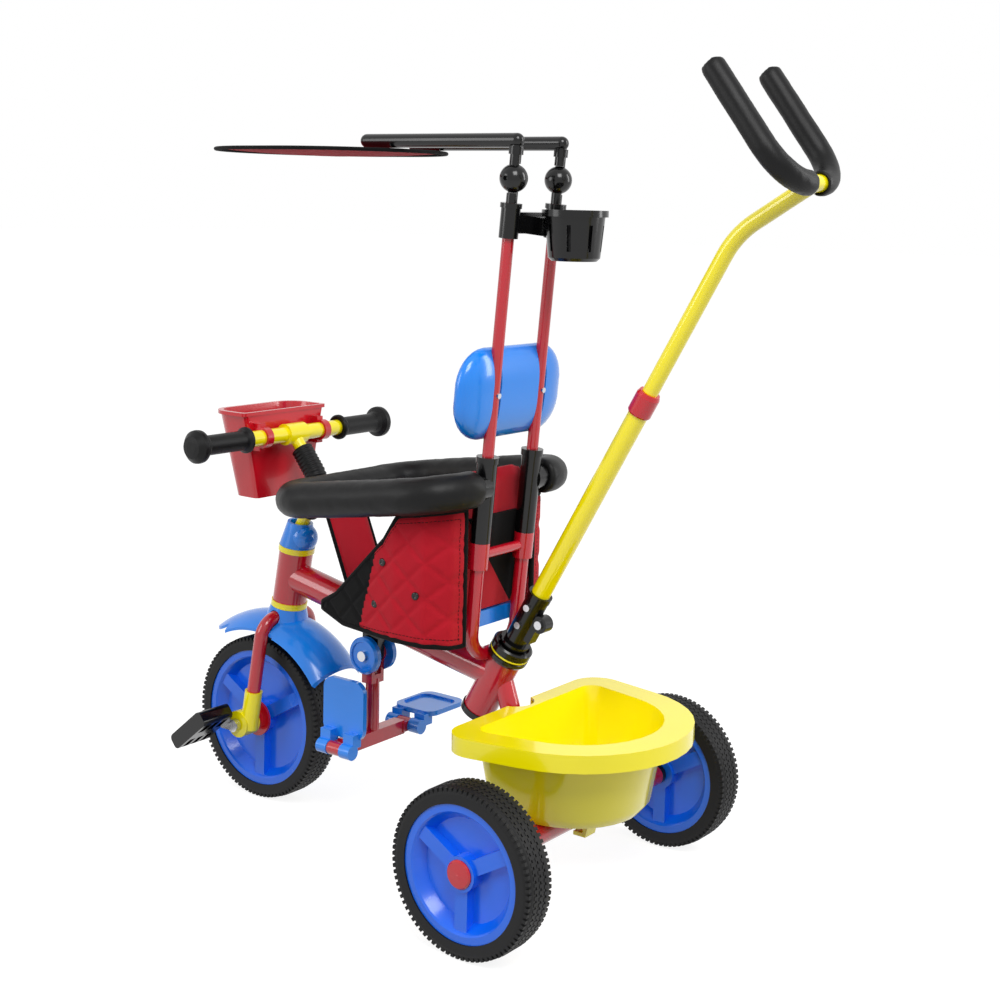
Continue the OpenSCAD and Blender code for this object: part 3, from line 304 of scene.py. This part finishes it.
def paint(name, colour, **more):
    finish(name, colour, 0.18, uneven, sprayed, "Marks", dent=0.04, depth=0.00006, coat=0.5,
           **more)


def plastic(name, colour, rough=0.2, dent=0.1, coat=0.3, **more):
    return finish(name, colour, rough, uneven, moulded, "Marks", dent=dent, coat=coat, **more)


def foam(name, colour, rough, **more):
    return finish(name, colour, rough, uneven, foamed, "Marks", swing=0.2, **more)


def cloth_finish(name, colour, count, **more):
    return finish(name, colour, 0.72, woven, {"Threads": count}, "Fade", swing=0.14, **more)


paint("red_paint", linear(192, 10, 34))
paint("yellow_paint", linear(255, 238, 0), swing=0.04)
bright_steel = finish("bright_steel", linear(205, 206, 210), 0.2, uneven, sprayed, "Marks",
                      metal=1.0)
yellow_plastic = plastic("yellow_plastic", linear(255, 240, 0), 0.18, 0.04, swing=0.04,
                         depth=0.0002)
red_plastic = plastic("red_plastic", linear(200, 12, 32))
blue_plastic = plastic("blue_plastic", linear(10, 134, 242))
wheel_blue = plastic("wheel_blue", linear(6, 104, 236), 0.24, coat=0.2)
black_plastic = plastic("black_plastic", linear(8, 8, 9), 0.18, 0.08, 0.1, shine=0.35)
black_foam = foam("black_foam", linear(9, 9, 10), 0.42, dent=0.2, shine=0.22)
tyre_foam = foam("tyre_foam", linear(14, 14, 15), 0.52, dent=0.3, shine=0.25)
red_cloth = cloth_finish("red_cloth", linear(196, 18, 40), 4200.0,
                         dent=0.3, sheen=0.1, shine=0.2)
black_cloth = cloth_finish("black_cloth", linear(12, 12, 13), 5200.0,
                           dent=0.35, sheen=0.03, shine=0.12)
slots = [entry["slot"] for entry in frame["record"]["materials"]]
finishes = {slot: bpy.data.materials[slot + FINISH] for slot in slots}
print("finishes:", sorted(finishes))

# %% [markdown]
# ## Dressing the solids
# Every solid already knows its slot from the record, so one loop hands out the finishes. Only
# the wheel discs differ: they are a deeper blue than the other blue pieces.

# %% Dressing the solids
slot_of = {part["node"]: part["material_slot"] for part in frame["record"]["subparts"]}
for name, piece in nodes.items():
    piece.data.materials.clear()
    piece.data.materials.append(finishes[slot_of[name]])
for name in ("front_disc", "left_disc", "right_disc"):
    nodes[name].data.materials[0] = wheel_blue
print("dressed", len(nodes), "solids")

# %% [markdown]
# ## Helpers for sewn and foam pieces
# A soft piece starts from its own solid: copied, with its loose triangles joined, so it stays
# exactly where the drawing holds it. A working object carries the copy through its modifiers,
# and only the final mesh is kept.

# %% Helpers for sewn and foam pieces
WELD = 0.00002  # points closer than this are one


def new_piece(name, mesh, material, body, smooth=True):
    """A finished piece that rides on a body and shows one material."""
    piece = bpy.data.objects.new(name, mesh)
    scene.collection.objects.link(piece)
    mesh.materials.clear()
    mesh.materials.append(material)
    if smooth:
        mesh.shade_smooth()
    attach(piece, body)
    return piece


def joined_copy(node):
    """The node's mesh with the triangles' shared corners joined."""
    mesh = nodes[node].data.copy()
    form = bmesh.new()
    form.from_mesh(mesh)
    bmesh.ops.remove_doubles(form, verts=form.verts, dist=WELD)
    form.to_mesh(mesh)
    form.free()
    return mesh


def draft(data):
    """A working object that holds a mesh or a curve."""
    holder = bpy.data.objects.new("draft", data)
    scene.collection.objects.link(holder)
    return holder


def taken(holder):
    """The mesh of a working object with its modifiers worked in; the object goes."""
    bpy.context.view_layer.update()
    final = holder.evaluated_get(bpy.context.evaluated_depsgraph_get())
    mesh = bpy.data.meshes.new_from_object(final)
    bpy.data.objects.remove(holder)
    return mesh


def remeshed(node, voxel, smoothing=6):
    """The node's shape in even faces, with its edges softened."""
    holder = draft(joined_copy(node))
    remesh = holder.modifiers.new("voxels", "REMESH")
    remesh.mode = "VOXEL"
    remesh.voxel_size = voxel
    soften = holder.modifiers.new("soften", "SMOOTH")
    soften.factor = 0.5
    soften.iterations = smoothing
    mesh = taken(holder)
    mesh.update()
    return mesh


def tape_mesh(places, radius, closed, resolution=4):
    """A round tape laid along a line of places."""
    tape = bpy.data.curves.new("tape", "CURVE")
    tape.dimensions = "3D"
    tape.bevel_depth = radius
    tape.bevel_resolution = resolution
    tape.use_fill_caps = not closed
    line = tape.splines.new("POLY")
    line.points.add(len(places) - 1)
    for point, place in zip(line.points, places):
        point.co = (*place, 1)
    line.use_cyclic_u = closed
    return taken(draft(tape))


# %% [markdown]
# ## Foam sleeves
# The guard ring and the push handle wear thick foam tube. Real foam is never as true as a
# turned rod: it creases lightly at the bends. A fine remesh and a small wave give that.

# %% Foam sleeves
FOAM_VOXEL = 0.004


def foam_sleeve(name, node, body, wave=0.0005):
    mesh = remeshed(node, FOAM_VOXEL)
    for vertex in mesh.vertices:
        swell = noise.noise(vertex.co * 38) * 0.7 + noise.noise(vertex.co * 120) * 0.3
        vertex.co += vertex.normal * (swell - 0.3) * wave
    piece = new_piece(name, mesh, black_foam, body)
    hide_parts(node)
    print(name, len(mesh.polygons), "faces")


foam_sleeve("ring_sleeve", "guard_ring_foam", "frame", 0.001)
foam_sleeve("handle_sleeves", "push_grips", "push_upper")

# %% [markdown]
# ## Ribbed stem boot
# A soft ribbed boot hides the bent stem under the handlebar. The drawing has its ribs as
# straight facets, and one subdivision rounds them as moulded rubber is.

# %% Ribbed stem boot
holder = draft(joined_copy("stem_boot"))
rounding = holder.modifiers.new("rounding", "SUBSURF")
rounding.levels = rounding.render_levels = 1
boot_mesh = taken(holder)
boot = new_piece("ribbed_boot", boot_mesh, black_foam, "steering")
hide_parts("stem_boot")
print("boot", len(boot_mesh.polygons), "faces")

# %% [markdown]
# ## Moulded shells
# The bucket, the basket and the headrest are lofted from straight facets in the drawing. A real
# moulding has no facets, so each is copied with its triangles joined, and its shading is made
# smooth wherever two faces meet at a small angle, while the rims and corners stay crisp.

# %% Moulded shells
FLAT = math.radians(0.5)  # faces that meet at less than this are one face


def moulded_shell(name, node, body, material, crisp):
    form = bmesh.new()
    form.from_mesh(joined_copy(node))
    bmesh.ops.dissolve_limit(form, angle_limit=FLAT, verts=form.verts, edges=form.edges)
    bmesh.ops.triangulate(form, faces=[f for f in form.faces if len(f.verts) > 4])
    for face in form.faces:
        face.smooth = True
    for edge in form.edges:
        edge.smooth = len(edge.link_faces) == 2 and edge.calc_face_angle() < math.radians(crisp)
    mesh = bpy.data.meshes.new(name)
    form.to_mesh(mesh)
    form.free()
    shell = new_piece(name, mesh, material, body, smooth=False)
    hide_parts(node)
    print(name, len(mesh.polygons), "faces")


moulded_shell("moulded_bucket", "bucket", "frame", yellow_plastic, 32)
moulded_shell("moulded_basket", "front_basket", "steering", red_plastic, 32)
moulded_shell("moulded_headrest", "headrest", "frame", blue_plastic, 40)

# %% [markdown]
# ## Seat and back pads
# Both pads are stuffed cloth. The cloth simulation blows a slightly smaller copy of the solid
# up with air, with gravity off, and a cap keeps each point close to where it began so the pad
# never reaches its neighbours.

# %% Seat and back pads
PAD_VOXEL, PAD_SMOOTHING = 0.005, 10
PAD_SHRINK, PAD_CAP = 0.0015, 0.0025  # metres taken off at first, and the most that air adds
PAD_PRESSURE, PAD_FRAMES = 4, 20


def stuffed_pad(name, node):
    mesh = remeshed(node, PAD_VOXEL, PAD_SMOOTHING)
    for vertex in mesh.vertices:
        vertex.co -= vertex.normal * PAD_SHRINK
    start = [v.co.copy() for v in mesh.vertices]
    low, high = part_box(node)
    holder = draft(mesh)
    cloth = holder.modifiers.new("stuffing", "CLOTH")
    cloth.settings.use_pressure = True
    cloth.settings.uniform_pressure_force = PAD_PRESSURE
    cloth.settings.effector_weights.gravity = 0
    cloth.point_cache.frame_end = PAD_FRAMES
    for step in range(1, PAD_FRAMES + 1):
        scene.frame_set(step)
    mesh = taken(holder)
    scene.frame_set(1)
    for vertex, begun in zip(mesh.vertices, start):
        moved = vertex.co - begun
        if moved.length > PAD_CAP:
            moved *= PAD_CAP / moved.length
        vertex.co = begun + moved
        vertex.co = [min(max(v, a), b) for v, a, b in zip(vertex.co, low, high)]
    pad = new_piece(name, mesh, red_cloth, "frame")
    finer = pad.modifiers.new("finer", "SUBSURF")
    finer.levels = finer.render_levels = 1
    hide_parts(node)
    print(name, len(mesh.polygons), "faces")


stuffed_pad("sewn_seat_pad", "seat_pad")
stuffed_pad("sewn_back_pad", "back_pad")

# %% [markdown]
# ## Quilted side panels
# Two wadded cloth panels close the seat's sides. Each follows a bent line in plan, so it is a
# grid: columns go along that line, rows climb from the hem to the slanting top edge. Diagonal
# quilting pulls the cloth in along crossed lines, which the grid's thickness follows. The front
# of each panel is black cloth, split along a slanted line, and a black tape binds the edge.

# %% Quilted side panels
SEAT_FRONT, POST_X, PANEL_Y = 342.0, 127.0, 119.0  # the drawing's millimetres
SEAT_Z, BROW_Z = 315.2, 483.3
QUILT = 46  # spacing of the quilting lines
COLUMNS, ROWS = 90, 70
SEAM_INSET = 4  # grid steps from the edge to the stitches
TAPE_R = 0.0036
plan = [(POST_X + 3.2, 71), (POST_X + 9, 91.4), (POST_X + 36, PANEL_Y - 7),
        (POST_X + 76, PANEL_Y), (SEAT_FRONT - 12, PANEL_Y - 7)]
hem = [(POST_X - 24, SEAT_Z - 10), (SEAT_FRONT - 50, SEAT_Z), (SEAT_FRONT, SEAT_Z + 18)]
brow = [(POST_X - 24, BROW_Z + 2), (POST_X + 72, BROW_Z - 13), (POST_X + 94, BROW_Z - 46),
        (SEAT_FRONT - 36, SEAT_Z + 38), (SEAT_FRONT, SEAT_Z + 18)]


def height_at(line, x):
    """The height of a bent line of (x, z) points at x."""
    for (x0, z0), (x1, z1) in zip(line, line[1:]):
        if x <= x1:
            return z0 + (z1 - z0) * (x - x0) / (x1 - x0)
    return line[-1][1]


def along_plan(share):
    """The point at a share of the plan line's length, and the line's direction there."""
    legs = [math.dist(a, b) for a, b in zip(plan, plan[1:])]
    left = share * sum(legs)
    for (a, b), leg in zip(zip(plan, plan[1:]), legs):
        if left <= leg + 1e-6:
            return Vector(a).lerp(Vector(b), left / leg), (Vector(b) - Vector(a)).normalized()
        left -= leg


def panel_half(x, z, margin):
    """Half the wadding's thickness: thin at the quilting lines and at the bound edge."""
    rising, falling = abs(((x + z) / QUILT) % 1 - 0.5), abs(((x - z) / QUILT) % 1 - 0.5)
    pulls = min(rising, falling) * 2
    return (1.3 + 2.0 * min(1, pulls * 3) ** 0.7) * min(1, 0.4 + margin / 9)


def in_black(place):
    """Whether a point of the panel lies ahead of the slanted line, in the black cloth."""
    return place.x * 1000 + ORIGIN_X > 262 - 0.26 * (place.z * 1000 - SEAT_Z)


def inset(k, end):
    return min(max(k, SEAM_INSET), end - SEAM_INSET)


def quilted_panel(label, hand):
    """Makes one panel with its binding, and gives the line its stitches follow."""
    corners = {}
    form = bmesh.new()
    for i in range(COLUMNS + 1):
        at, way = along_plan(i / COLUMNS)
        out_y = Vector((-way.y, way.x))
        low, high = height_at(hem, at.x) + 1, height_at(brow, at.x) - 1
        for j in range(ROWS + 1):
            z = low + (high - low) * j / ROWS
            margin = min(z - low, high - z, 200 * min(i, COLUMNS - i) / COLUMNS)
            half = panel_half(at.x, z, margin)
            for face in (1, -1):
                p = at + out_y * half * face
                corners[i, j, face] = form.verts.new(spot(p.x, hand * p.y, z))
    square = ((0, 0), (1, 0), (1, 1), (0, 1))
    for i in range(COLUMNS):
        for j in range(ROWS):
            for face in (1, -1):
                form.faces.new([corners[i + a, j + b, face] for a, b in square])
    ring = [(i, 0) for i in range(COLUMNS)] + [(COLUMNS, j) for j in range(ROWS)]
    ring += [(i, ROWS) for i in range(COLUMNS, 0, -1)] + [(0, j) for j in range(ROWS, 0, -1)]
    for a, b in zip(ring, ring[1:] + ring[:1]):
        form.faces.new([corners[*a, 1], corners[*b, 1], corners[*b, -1], corners[*a, -1]])
    rim = [(corners[*a, 1].co + corners[*a, -1].co) / 2 for a in ring]
    seam = [corners[inset(i, COLUMNS), inset(j, ROWS), 1].co.copy() for i, j in ring]
    bmesh.ops.recalc_face_normals(form, faces=form.faces)
    mesh = bpy.data.meshes.new(label + "_quilted_panel")
    black = [int(in_black(face.calc_center_median())) for face in form.faces]
    form.to_mesh(mesh)
    form.free()
    panel = new_piece(label + "_quilted_panel", mesh, red_cloth, "frame")
    mesh.materials.append(black_cloth)
    mesh.polygons.foreach_set("material_index", black)
    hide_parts("side_panels")
    binding = tape_mesh(rim, TAPE_R, True, 3)
    new_piece(label + "_panel_binding", binding, black_cloth, "frame")
    print(label, "panel", len(mesh.polygons), "faces and its binding")
    return seam


HANDS = {"left": 1, "right": -1}
seams = {label: quilted_panel(label, hand) for label, hand in HANDS.items()}

# %% [markdown]
# ## Cloth over the seat back
# The seat's cover is pulled over the moulded back, so from behind it is black cloth above and
# red below. The copy keeps the back's own shape, and each face takes the cloth for its height.

# %% Cloth over the seat back
RED_SHARE = 0.45  # of the back's height
cover_mesh = joined_copy("seat_back")
low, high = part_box("seat_back")
seam_z = low.z + RED_SHARE * (high.z - low.z)
cover = new_piece("seat_back_cover", cover_mesh, black_cloth, "frame", smooth=False)
cover_mesh.materials.append(red_cloth)
for face in cover_mesh.polygons:
    face.material_index = 1 if face.center.z < seam_z else 0
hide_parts("seat_back")
print("seat back cover", len(cover_mesh.polygons), "faces")

# %% [markdown]
# ## Stitches
# A row of black stitches holds the binding on. Sewing is the same short thread over and over,
# so a Geometry Nodes tree walks along a line of points and lays one stitch at each step. The
# inputs are the spacing, the stitch's length and the thread's radius. The tread further down
# grows in the same way, so the start and the end of such a tree are functions.

# %% Stitches
STITCH = {"Spacing": 0.0052, "Stitch length": 0.0034, "Thread": 0.00045, "Finish": black_cloth}


def geometry_tree(name, inputs):
    """An empty Geometry Nodes tree with named inputs, and its input and output nodes."""
    tree = bpy.data.node_groups.new(name, "GeometryNodeTree")
    add = tree.interface.new_socket
    add(name="Geometry", in_out="OUTPUT", socket_type="NodeSocketGeometry")
    for label, kind in inputs.items():
        add(name=label, in_out="INPUT", socket_type="NodeSocket" + kind)
    return tree, tree.nodes.new("NodeGroupInput"), tree.nodes.new("NodeGroupOutput")


def end_tree(tree, given, out, copies):
    """Makes the copies real, because the export drops instances, and gives them a finish."""
    real = tree.nodes.new("GeometryNodeRealizeInstances")
    tree.links.new(copies, real.inputs[0])
    dress = tree.nodes.new("GeometryNodeSetMaterial")
    tree.links.new(real.outputs[0], dress.inputs["Geometry"])
    tree.links.new(given.outputs["Finish"], dress.inputs["Material"])
    tree.links.new(dress.outputs[0], out.inputs[0])


def grown(tree, mesh, values):
    """What a tree makes of a mesh, with a value for each named input."""
    sockets = {s.name: s.identifier for s in tree.interface.items_tree if s.in_out == "INPUT"}
    holder = draft(mesh)
    grow = holder.modifiers.new("grow", "NODES")
    grow.node_group = tree
    for label, value in values.items():
        grow[sockets[label]] = value
    return taken(holder)


stitching, given, out = geometry_tree("stitch_row", {
    "Line": "Geometry", "Spacing": "Float", "Stitch length": "Float", "Thread": "Float",
    "Finish": "Material"})
link = stitching.links.new
as_curve = stitching.nodes.new("GeometryNodeMeshToCurve")
link(given.outputs["Line"], as_curve.inputs[0])
steps = stitching.nodes.new("GeometryNodeCurveToPoints")
steps.mode = "LENGTH"
link(as_curve.outputs[0], steps.inputs["Curve"])
link(given.outputs["Spacing"], steps.inputs["Length"])
thread = stitching.nodes.new("GeometryNodeMeshCylinder")
thread.inputs["Vertices"].default_value = 6
link(given.outputs["Thread"], thread.inputs["Radius"])
link(given.outputs["Stitch length"], thread.inputs["Depth"])
sewn = stitching.nodes.new("GeometryNodeInstanceOnPoints")
link(steps.outputs["Points"], sewn.inputs["Points"])
link(thread.outputs["Mesh"], sewn.inputs["Instance"])
link(steps.outputs["Rotation"], sewn.inputs["Rotation"])
end_tree(stitching, given, out, sewn.outputs[0])

for label, line in seams.items():
    row = bpy.data.meshes.new("stitch_line")
    row.from_pydata(line, [(k, k + 1) for k in range(len(line) - 1)], [])
    mesh = grown(stitching, row, STITCH)
    new_piece(label + "_panel_stitches", mesh, black_cloth, "frame")
    print(label, "panel stitches", len(mesh.polygons), "faces")

# %% [markdown]
# ## Crotch strap
# A wide strap runs from the seat's front edge up to the guard ring. It is flat webbing, so it
# is modelled directly: a gently bowed strip with a black tape on each long edge.

# %% Crotch strap
low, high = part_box("crotch_strap")
STRAP_W, STRAP_T, STRAP_BOW = high.y - low.y - 0.004, 0.003, 0.004
STRAP_ROWS, STRAP_SPANS = 40, 8
STRAP_TAPE_R = 0.0026
foot = Vector((low.x + 0.003, 0, low.z + 0.001))
head = Vector((high.x - 0.003, 0, high.z - 0.001))
strip = bmesh.new()
rows = []
for k in range(STRAP_ROWS + 1):
    share = k / STRAP_ROWS
    centre = foot.lerp(head, share)
    bow = STRAP_BOW * math.sin(math.pi * share)
    row = []
    for m in range(STRAP_SPANS + 1):
        across = m / STRAP_SPANS - 0.5
        sag = bow * (1 - (2 * across) ** 2)
        row.append(strip.verts.new(centre + Vector((sag, across * STRAP_W, 0))))
    rows.append(row)
for a, b in zip(rows, rows[1:]):
    for m in range(STRAP_SPANS):
        strip.faces.new((a[m], a[m + 1], b[m + 1], b[m]))
edges = {"left": [row[0].co.copy() for row in rows], "right": [row[-1].co.copy() for row in rows]}
strap_mesh = bpy.data.meshes.new("webbing_strap")
strip.to_mesh(strap_mesh)
strip.free()
strap = new_piece("webbing_strap", strap_mesh, red_cloth, "frame")
thick = strap.modifiers.new("thickness", "SOLIDIFY")
thick.thickness = STRAP_T
thick.offset = 0
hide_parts("crotch_strap")
for label, places in edges.items():
    mesh = tape_mesh(places, STRAP_TAPE_R, False)
    new_piece(label + "_strap_tape", mesh, black_cloth, "frame")
print("strap", round((head - foot).length, 3), "m long")

# %% [markdown]
# ## Canopy cloth
# The canopy is one piece of cloth stretched in a wire hoop. It sags a few millimetres in the
# middle, which keeps it from reading as a board. Rings of points shrink from the hoop to the
# centre, so the weave and the shading stay even.

# %% Canopy cloth
low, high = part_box("canopy_fabric")
centre = (low + high) / 2
HALF_W, HALF_L = (high.y - low.y) / 2, (high.x - low.x) / 2
RINGS, AROUND = 26, 128
CANOPY_SAG, CANOPY_RIPPLE, CANOPY_T = 0.007, 0.0006, 0.0012
EDGE_Z = high.z - 0.001
sheet = bmesh.new()
loops = []
for ring_no in range(1, RINGS + 1):
    share = ring_no / RINGS
    loop = []
    for k in range(AROUND):
        turn = 2 * math.pi * k / AROUND
        straight = math.copysign(HALF_L - HALF_W, math.cos(turn)) * min(1, abs(math.cos(turn)) * 5)
        rim_at = Vector((HALF_W * math.cos(turn) + straight, HALF_W * math.sin(turn), 0))
        place = rim_at * share * 0.998
        ripple = CANOPY_RIPPLE * noise.noise(place * 30) * (1 - share)
        drop = CANOPY_SAG * (1 - share ** 2) + ripple
        loop.append(sheet.verts.new(Vector((centre.x, 0, EDGE_Z - drop)) + place))
    loops.append(loop)
hub = sheet.verts.new((centre.x, 0, EDGE_Z - CANOPY_SAG))
for k in range(AROUND):
    nxt = (k + 1) % AROUND
    sheet.faces.new((hub, loops[0][k], loops[0][nxt]))
    for inner, outer in zip(loops, loops[1:]):
        sheet.faces.new((inner[k], outer[k], outer[nxt], inner[nxt]))
canopy_area = sum(f.calc_area() for f in sheet.faces)
canopy_mesh = bpy.data.meshes.new("canopy_cloth")
sheet.to_mesh(canopy_mesh)
sheet.free()
canopy = new_piece("canopy_cloth", canopy_mesh, red_cloth, "canopy")
thick = canopy.modifiers.new("thickness", "SOLIDIFY")
thick.thickness = CANOPY_T
thick.offset = 0
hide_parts("canopy_fabric")
print("canopy cloth", round(canopy_area, 4), "square metres")

# %% [markdown]
# ## Tyre treads
# Low blocks run round each tyre in rows. One block is modelled and a Geometry Nodes tree puts
# copies on a circle, turned to face out. The tree has named inputs, so the front wheel uses a
# larger radius and more blocks.

# %% Tyre treads
SHOULDER_BLOCK, CROWN_BLOCK = (0.0056, 0.0042, 0.0074), (0.0028, 0.0042, 0.0062)
SHOULDER_IN, SHOULDER_DOWN = 0.0042, 0.0036  # from the tyre's side and from its outer radius
CROWN_ASIDE, CROWN_DOWN = 0.0095, 0.0009

row_tree, given, out = geometry_tree("tread_row", {
    "Radius": "Float", "Blocks": "Int", "Block size": "Vector", "Turn": "Float",
    "Aside": "Float", "Finish": "Material"})
link = row_tree.links.new
circle = row_tree.nodes.new("GeometryNodeMeshCircle")
link(given.outputs["Blocks"], circle.inputs["Vertices"])
link(given.outputs["Radius"], circle.inputs["Radius"])
block = row_tree.nodes.new("GeometryNodeMeshCube")
link(given.outputs["Block size"], block.inputs["Size"])
where = row_tree.nodes.new("GeometryNodeInputPosition")
face_out = row_tree.nodes.new("FunctionNodeAlignEulerToVector")
face_out.axis = "X"
face_out.pivot_axis = "Z"
link(where.outputs[0], face_out.inputs["Vector"])
copies = row_tree.nodes.new("GeometryNodeInstanceOnPoints")
link(circle.outputs[0], copies.inputs["Points"])
link(block.outputs[0], copies.inputs["Instance"])
link(face_out.outputs[0], copies.inputs["Rotation"])
turn = row_tree.nodes.new("ShaderNodeCombineXYZ")
link(given.outputs["Turn"], turn.inputs["Z"])
aside = row_tree.nodes.new("ShaderNodeCombineXYZ")
link(given.outputs["Aside"], aside.inputs["Z"])
move = row_tree.nodes.new("GeometryNodeTransform")
link(copies.outputs[0], move.inputs["Geometry"])
link(aside.outputs[0], move.inputs["Translation"])
link(turn.outputs[0], move.inputs["Rotation"])
end_tree(row_tree, given, out, move.outputs[0])


def tread(name, node, body, blocks):
    low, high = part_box(node)
    hub_at, radius, half = (low + high) / 2, (high.z - low.z) / 2, (high.y - low.y) / 2
    shoulder, crown = radius - SHOULDER_DOWN, radius - CROWN_DOWN
    rows_of = [(sign * (half - SHOULDER_IN), shoulder, SHOULDER_BLOCK, 0.0) for sign in (1, -1)]
    rows_of += [(sign * CROWN_ASIDE, crown, CROWN_BLOCK, 0.5) for sign in (1, -1)]
    rows_of += [(0.0, crown, CROWN_BLOCK, 0.0)]
    form = bmesh.new()
    for aside, reach, size, stagger in rows_of:
        form.from_mesh(grown(row_tree, bpy.data.meshes.new("tread_start"), {
            "Radius": reach, "Blocks": blocks, "Block size": size,
            "Turn": stagger * 2 * math.pi / blocks, "Aside": aside, "Finish": tyre_foam}))
    form.transform(Matrix.Translation(hub_at) @ Matrix.Rotation(math.radians(90), 4, "X"))
    mesh = bpy.data.meshes.new(name)
    form.to_mesh(mesh)
    form.free()
    new_piece(name, mesh, tyre_foam, body, smooth=False)
    print(name, len(mesh.polygons), "faces")


tread("front_tread", "front_tyre", "front_wheel", 96)
tread("left_tread", "left_tyre", "wheel_left", 84)
tread("right_tread", "right_tyre", "wheel_right", 84)

# %% [markdown]
# ## Small fittings
# A few details are too small for the drawing: a yellow ring in the groove of the rear collar,
# a screw in the bucket's floor and snaps on the panels. They are turned from short profiles.

# %% Small fittings
HANDLE = Vector((-0.492424, 0, 0.870356))  # the way the push handle points
REAR_JOINT = spot(128, 0, 257)
RING_PROFILE = [(24.5, 36.4), (26.6, 36.4), (26.6, 38.6), (24.5, 38.6), (24.5, 36.4)]
SNAP_PROFILE = [(5, 0), (5, 1.4), (4, 2.2), (2.2, 2.2), (1.6, 1.6)]
SCREW_PROFILE = [(5.5, 0), (5.5, 1.2), (3.8, 2.4), (1.4, 2.6), (1.2, 1.6)]
SNAPS = ((236, 352), (222, 408), (172, 372))  # x and z in the drawing
SNAP_SUNK, SNAP_MARGIN = 0.0006, 20
HALVINGS = 30


def turned(name, profile, place, axis, material, body, steps=40):
    """A profile of (radius, height) points in millimetres, spun about an axis through a place."""
    form = bmesh.new()
    turns = [2 * math.pi * k / steps for k in range(steps)]
    rings = [[form.verts.new((r * math.cos(t) / 1000, r * math.sin(t) / 1000, h / 1000))
              for t in turns] for r, h in profile]
    for a, b in zip(rings, rings[1:]):
        for k in range(steps):
            form.faces.new((a[k], a[(k + 1) % steps], b[(k + 1) % steps], b[k]))
    if profile[0] != profile[-1]:
        form.faces.new(rings[0][::-1])
        form.faces.new(rings[-1])
    bmesh.ops.remove_doubles(form, verts=form.verts, dist=1e-7)
    bmesh.ops.recalc_face_normals(form, faces=form.faces)
    stand = Vector(axis).to_track_quat("Z", "Y").to_matrix().to_4x4()
    form.transform(Matrix.Translation(place) @ stand)
    mesh = bpy.data.meshes.new(name)
    form.to_mesh(mesh)
    form.free()
    new_piece(name, mesh, material, body)


def on_panel(x):
    """A point of the left panel's middle line and the way that it faces, found by halving."""
    near, far = 0.0, 1.0
    for step in range(HALVINGS):
        middle = (near + far) / 2
        near, far = (middle, far) if along_plan(middle)[0].x < x else (near, middle)
    at, way = along_plan(near)
    return at, Vector((-way.y, way.x))


turned("collar_ring", RING_PROFILE, REAR_JOINT, HANDLE, yellow_plastic, "frame", 64)
for label, hand in HANDS.items():
    for number, (x, z) in enumerate(SNAPS, 1):
        at, out_y = on_panel(x)
        outward = Vector((out_y.x, hand * out_y.y, 0))
        lift = panel_half(x, z, SNAP_MARGIN) / 1000 - SNAP_SUNK
        place = spot(at.x, hand * at.y, z) + outward * lift
        turned(f"{label}_snap_{number}", SNAP_PROFILE, place, outward, black_plastic, "frame", 24)
turned("bucket_screw", SCREW_PROFILE, spot(8, 0, 117.4), (0, 0, 1), bright_steel, "frame")
print("fittings made")
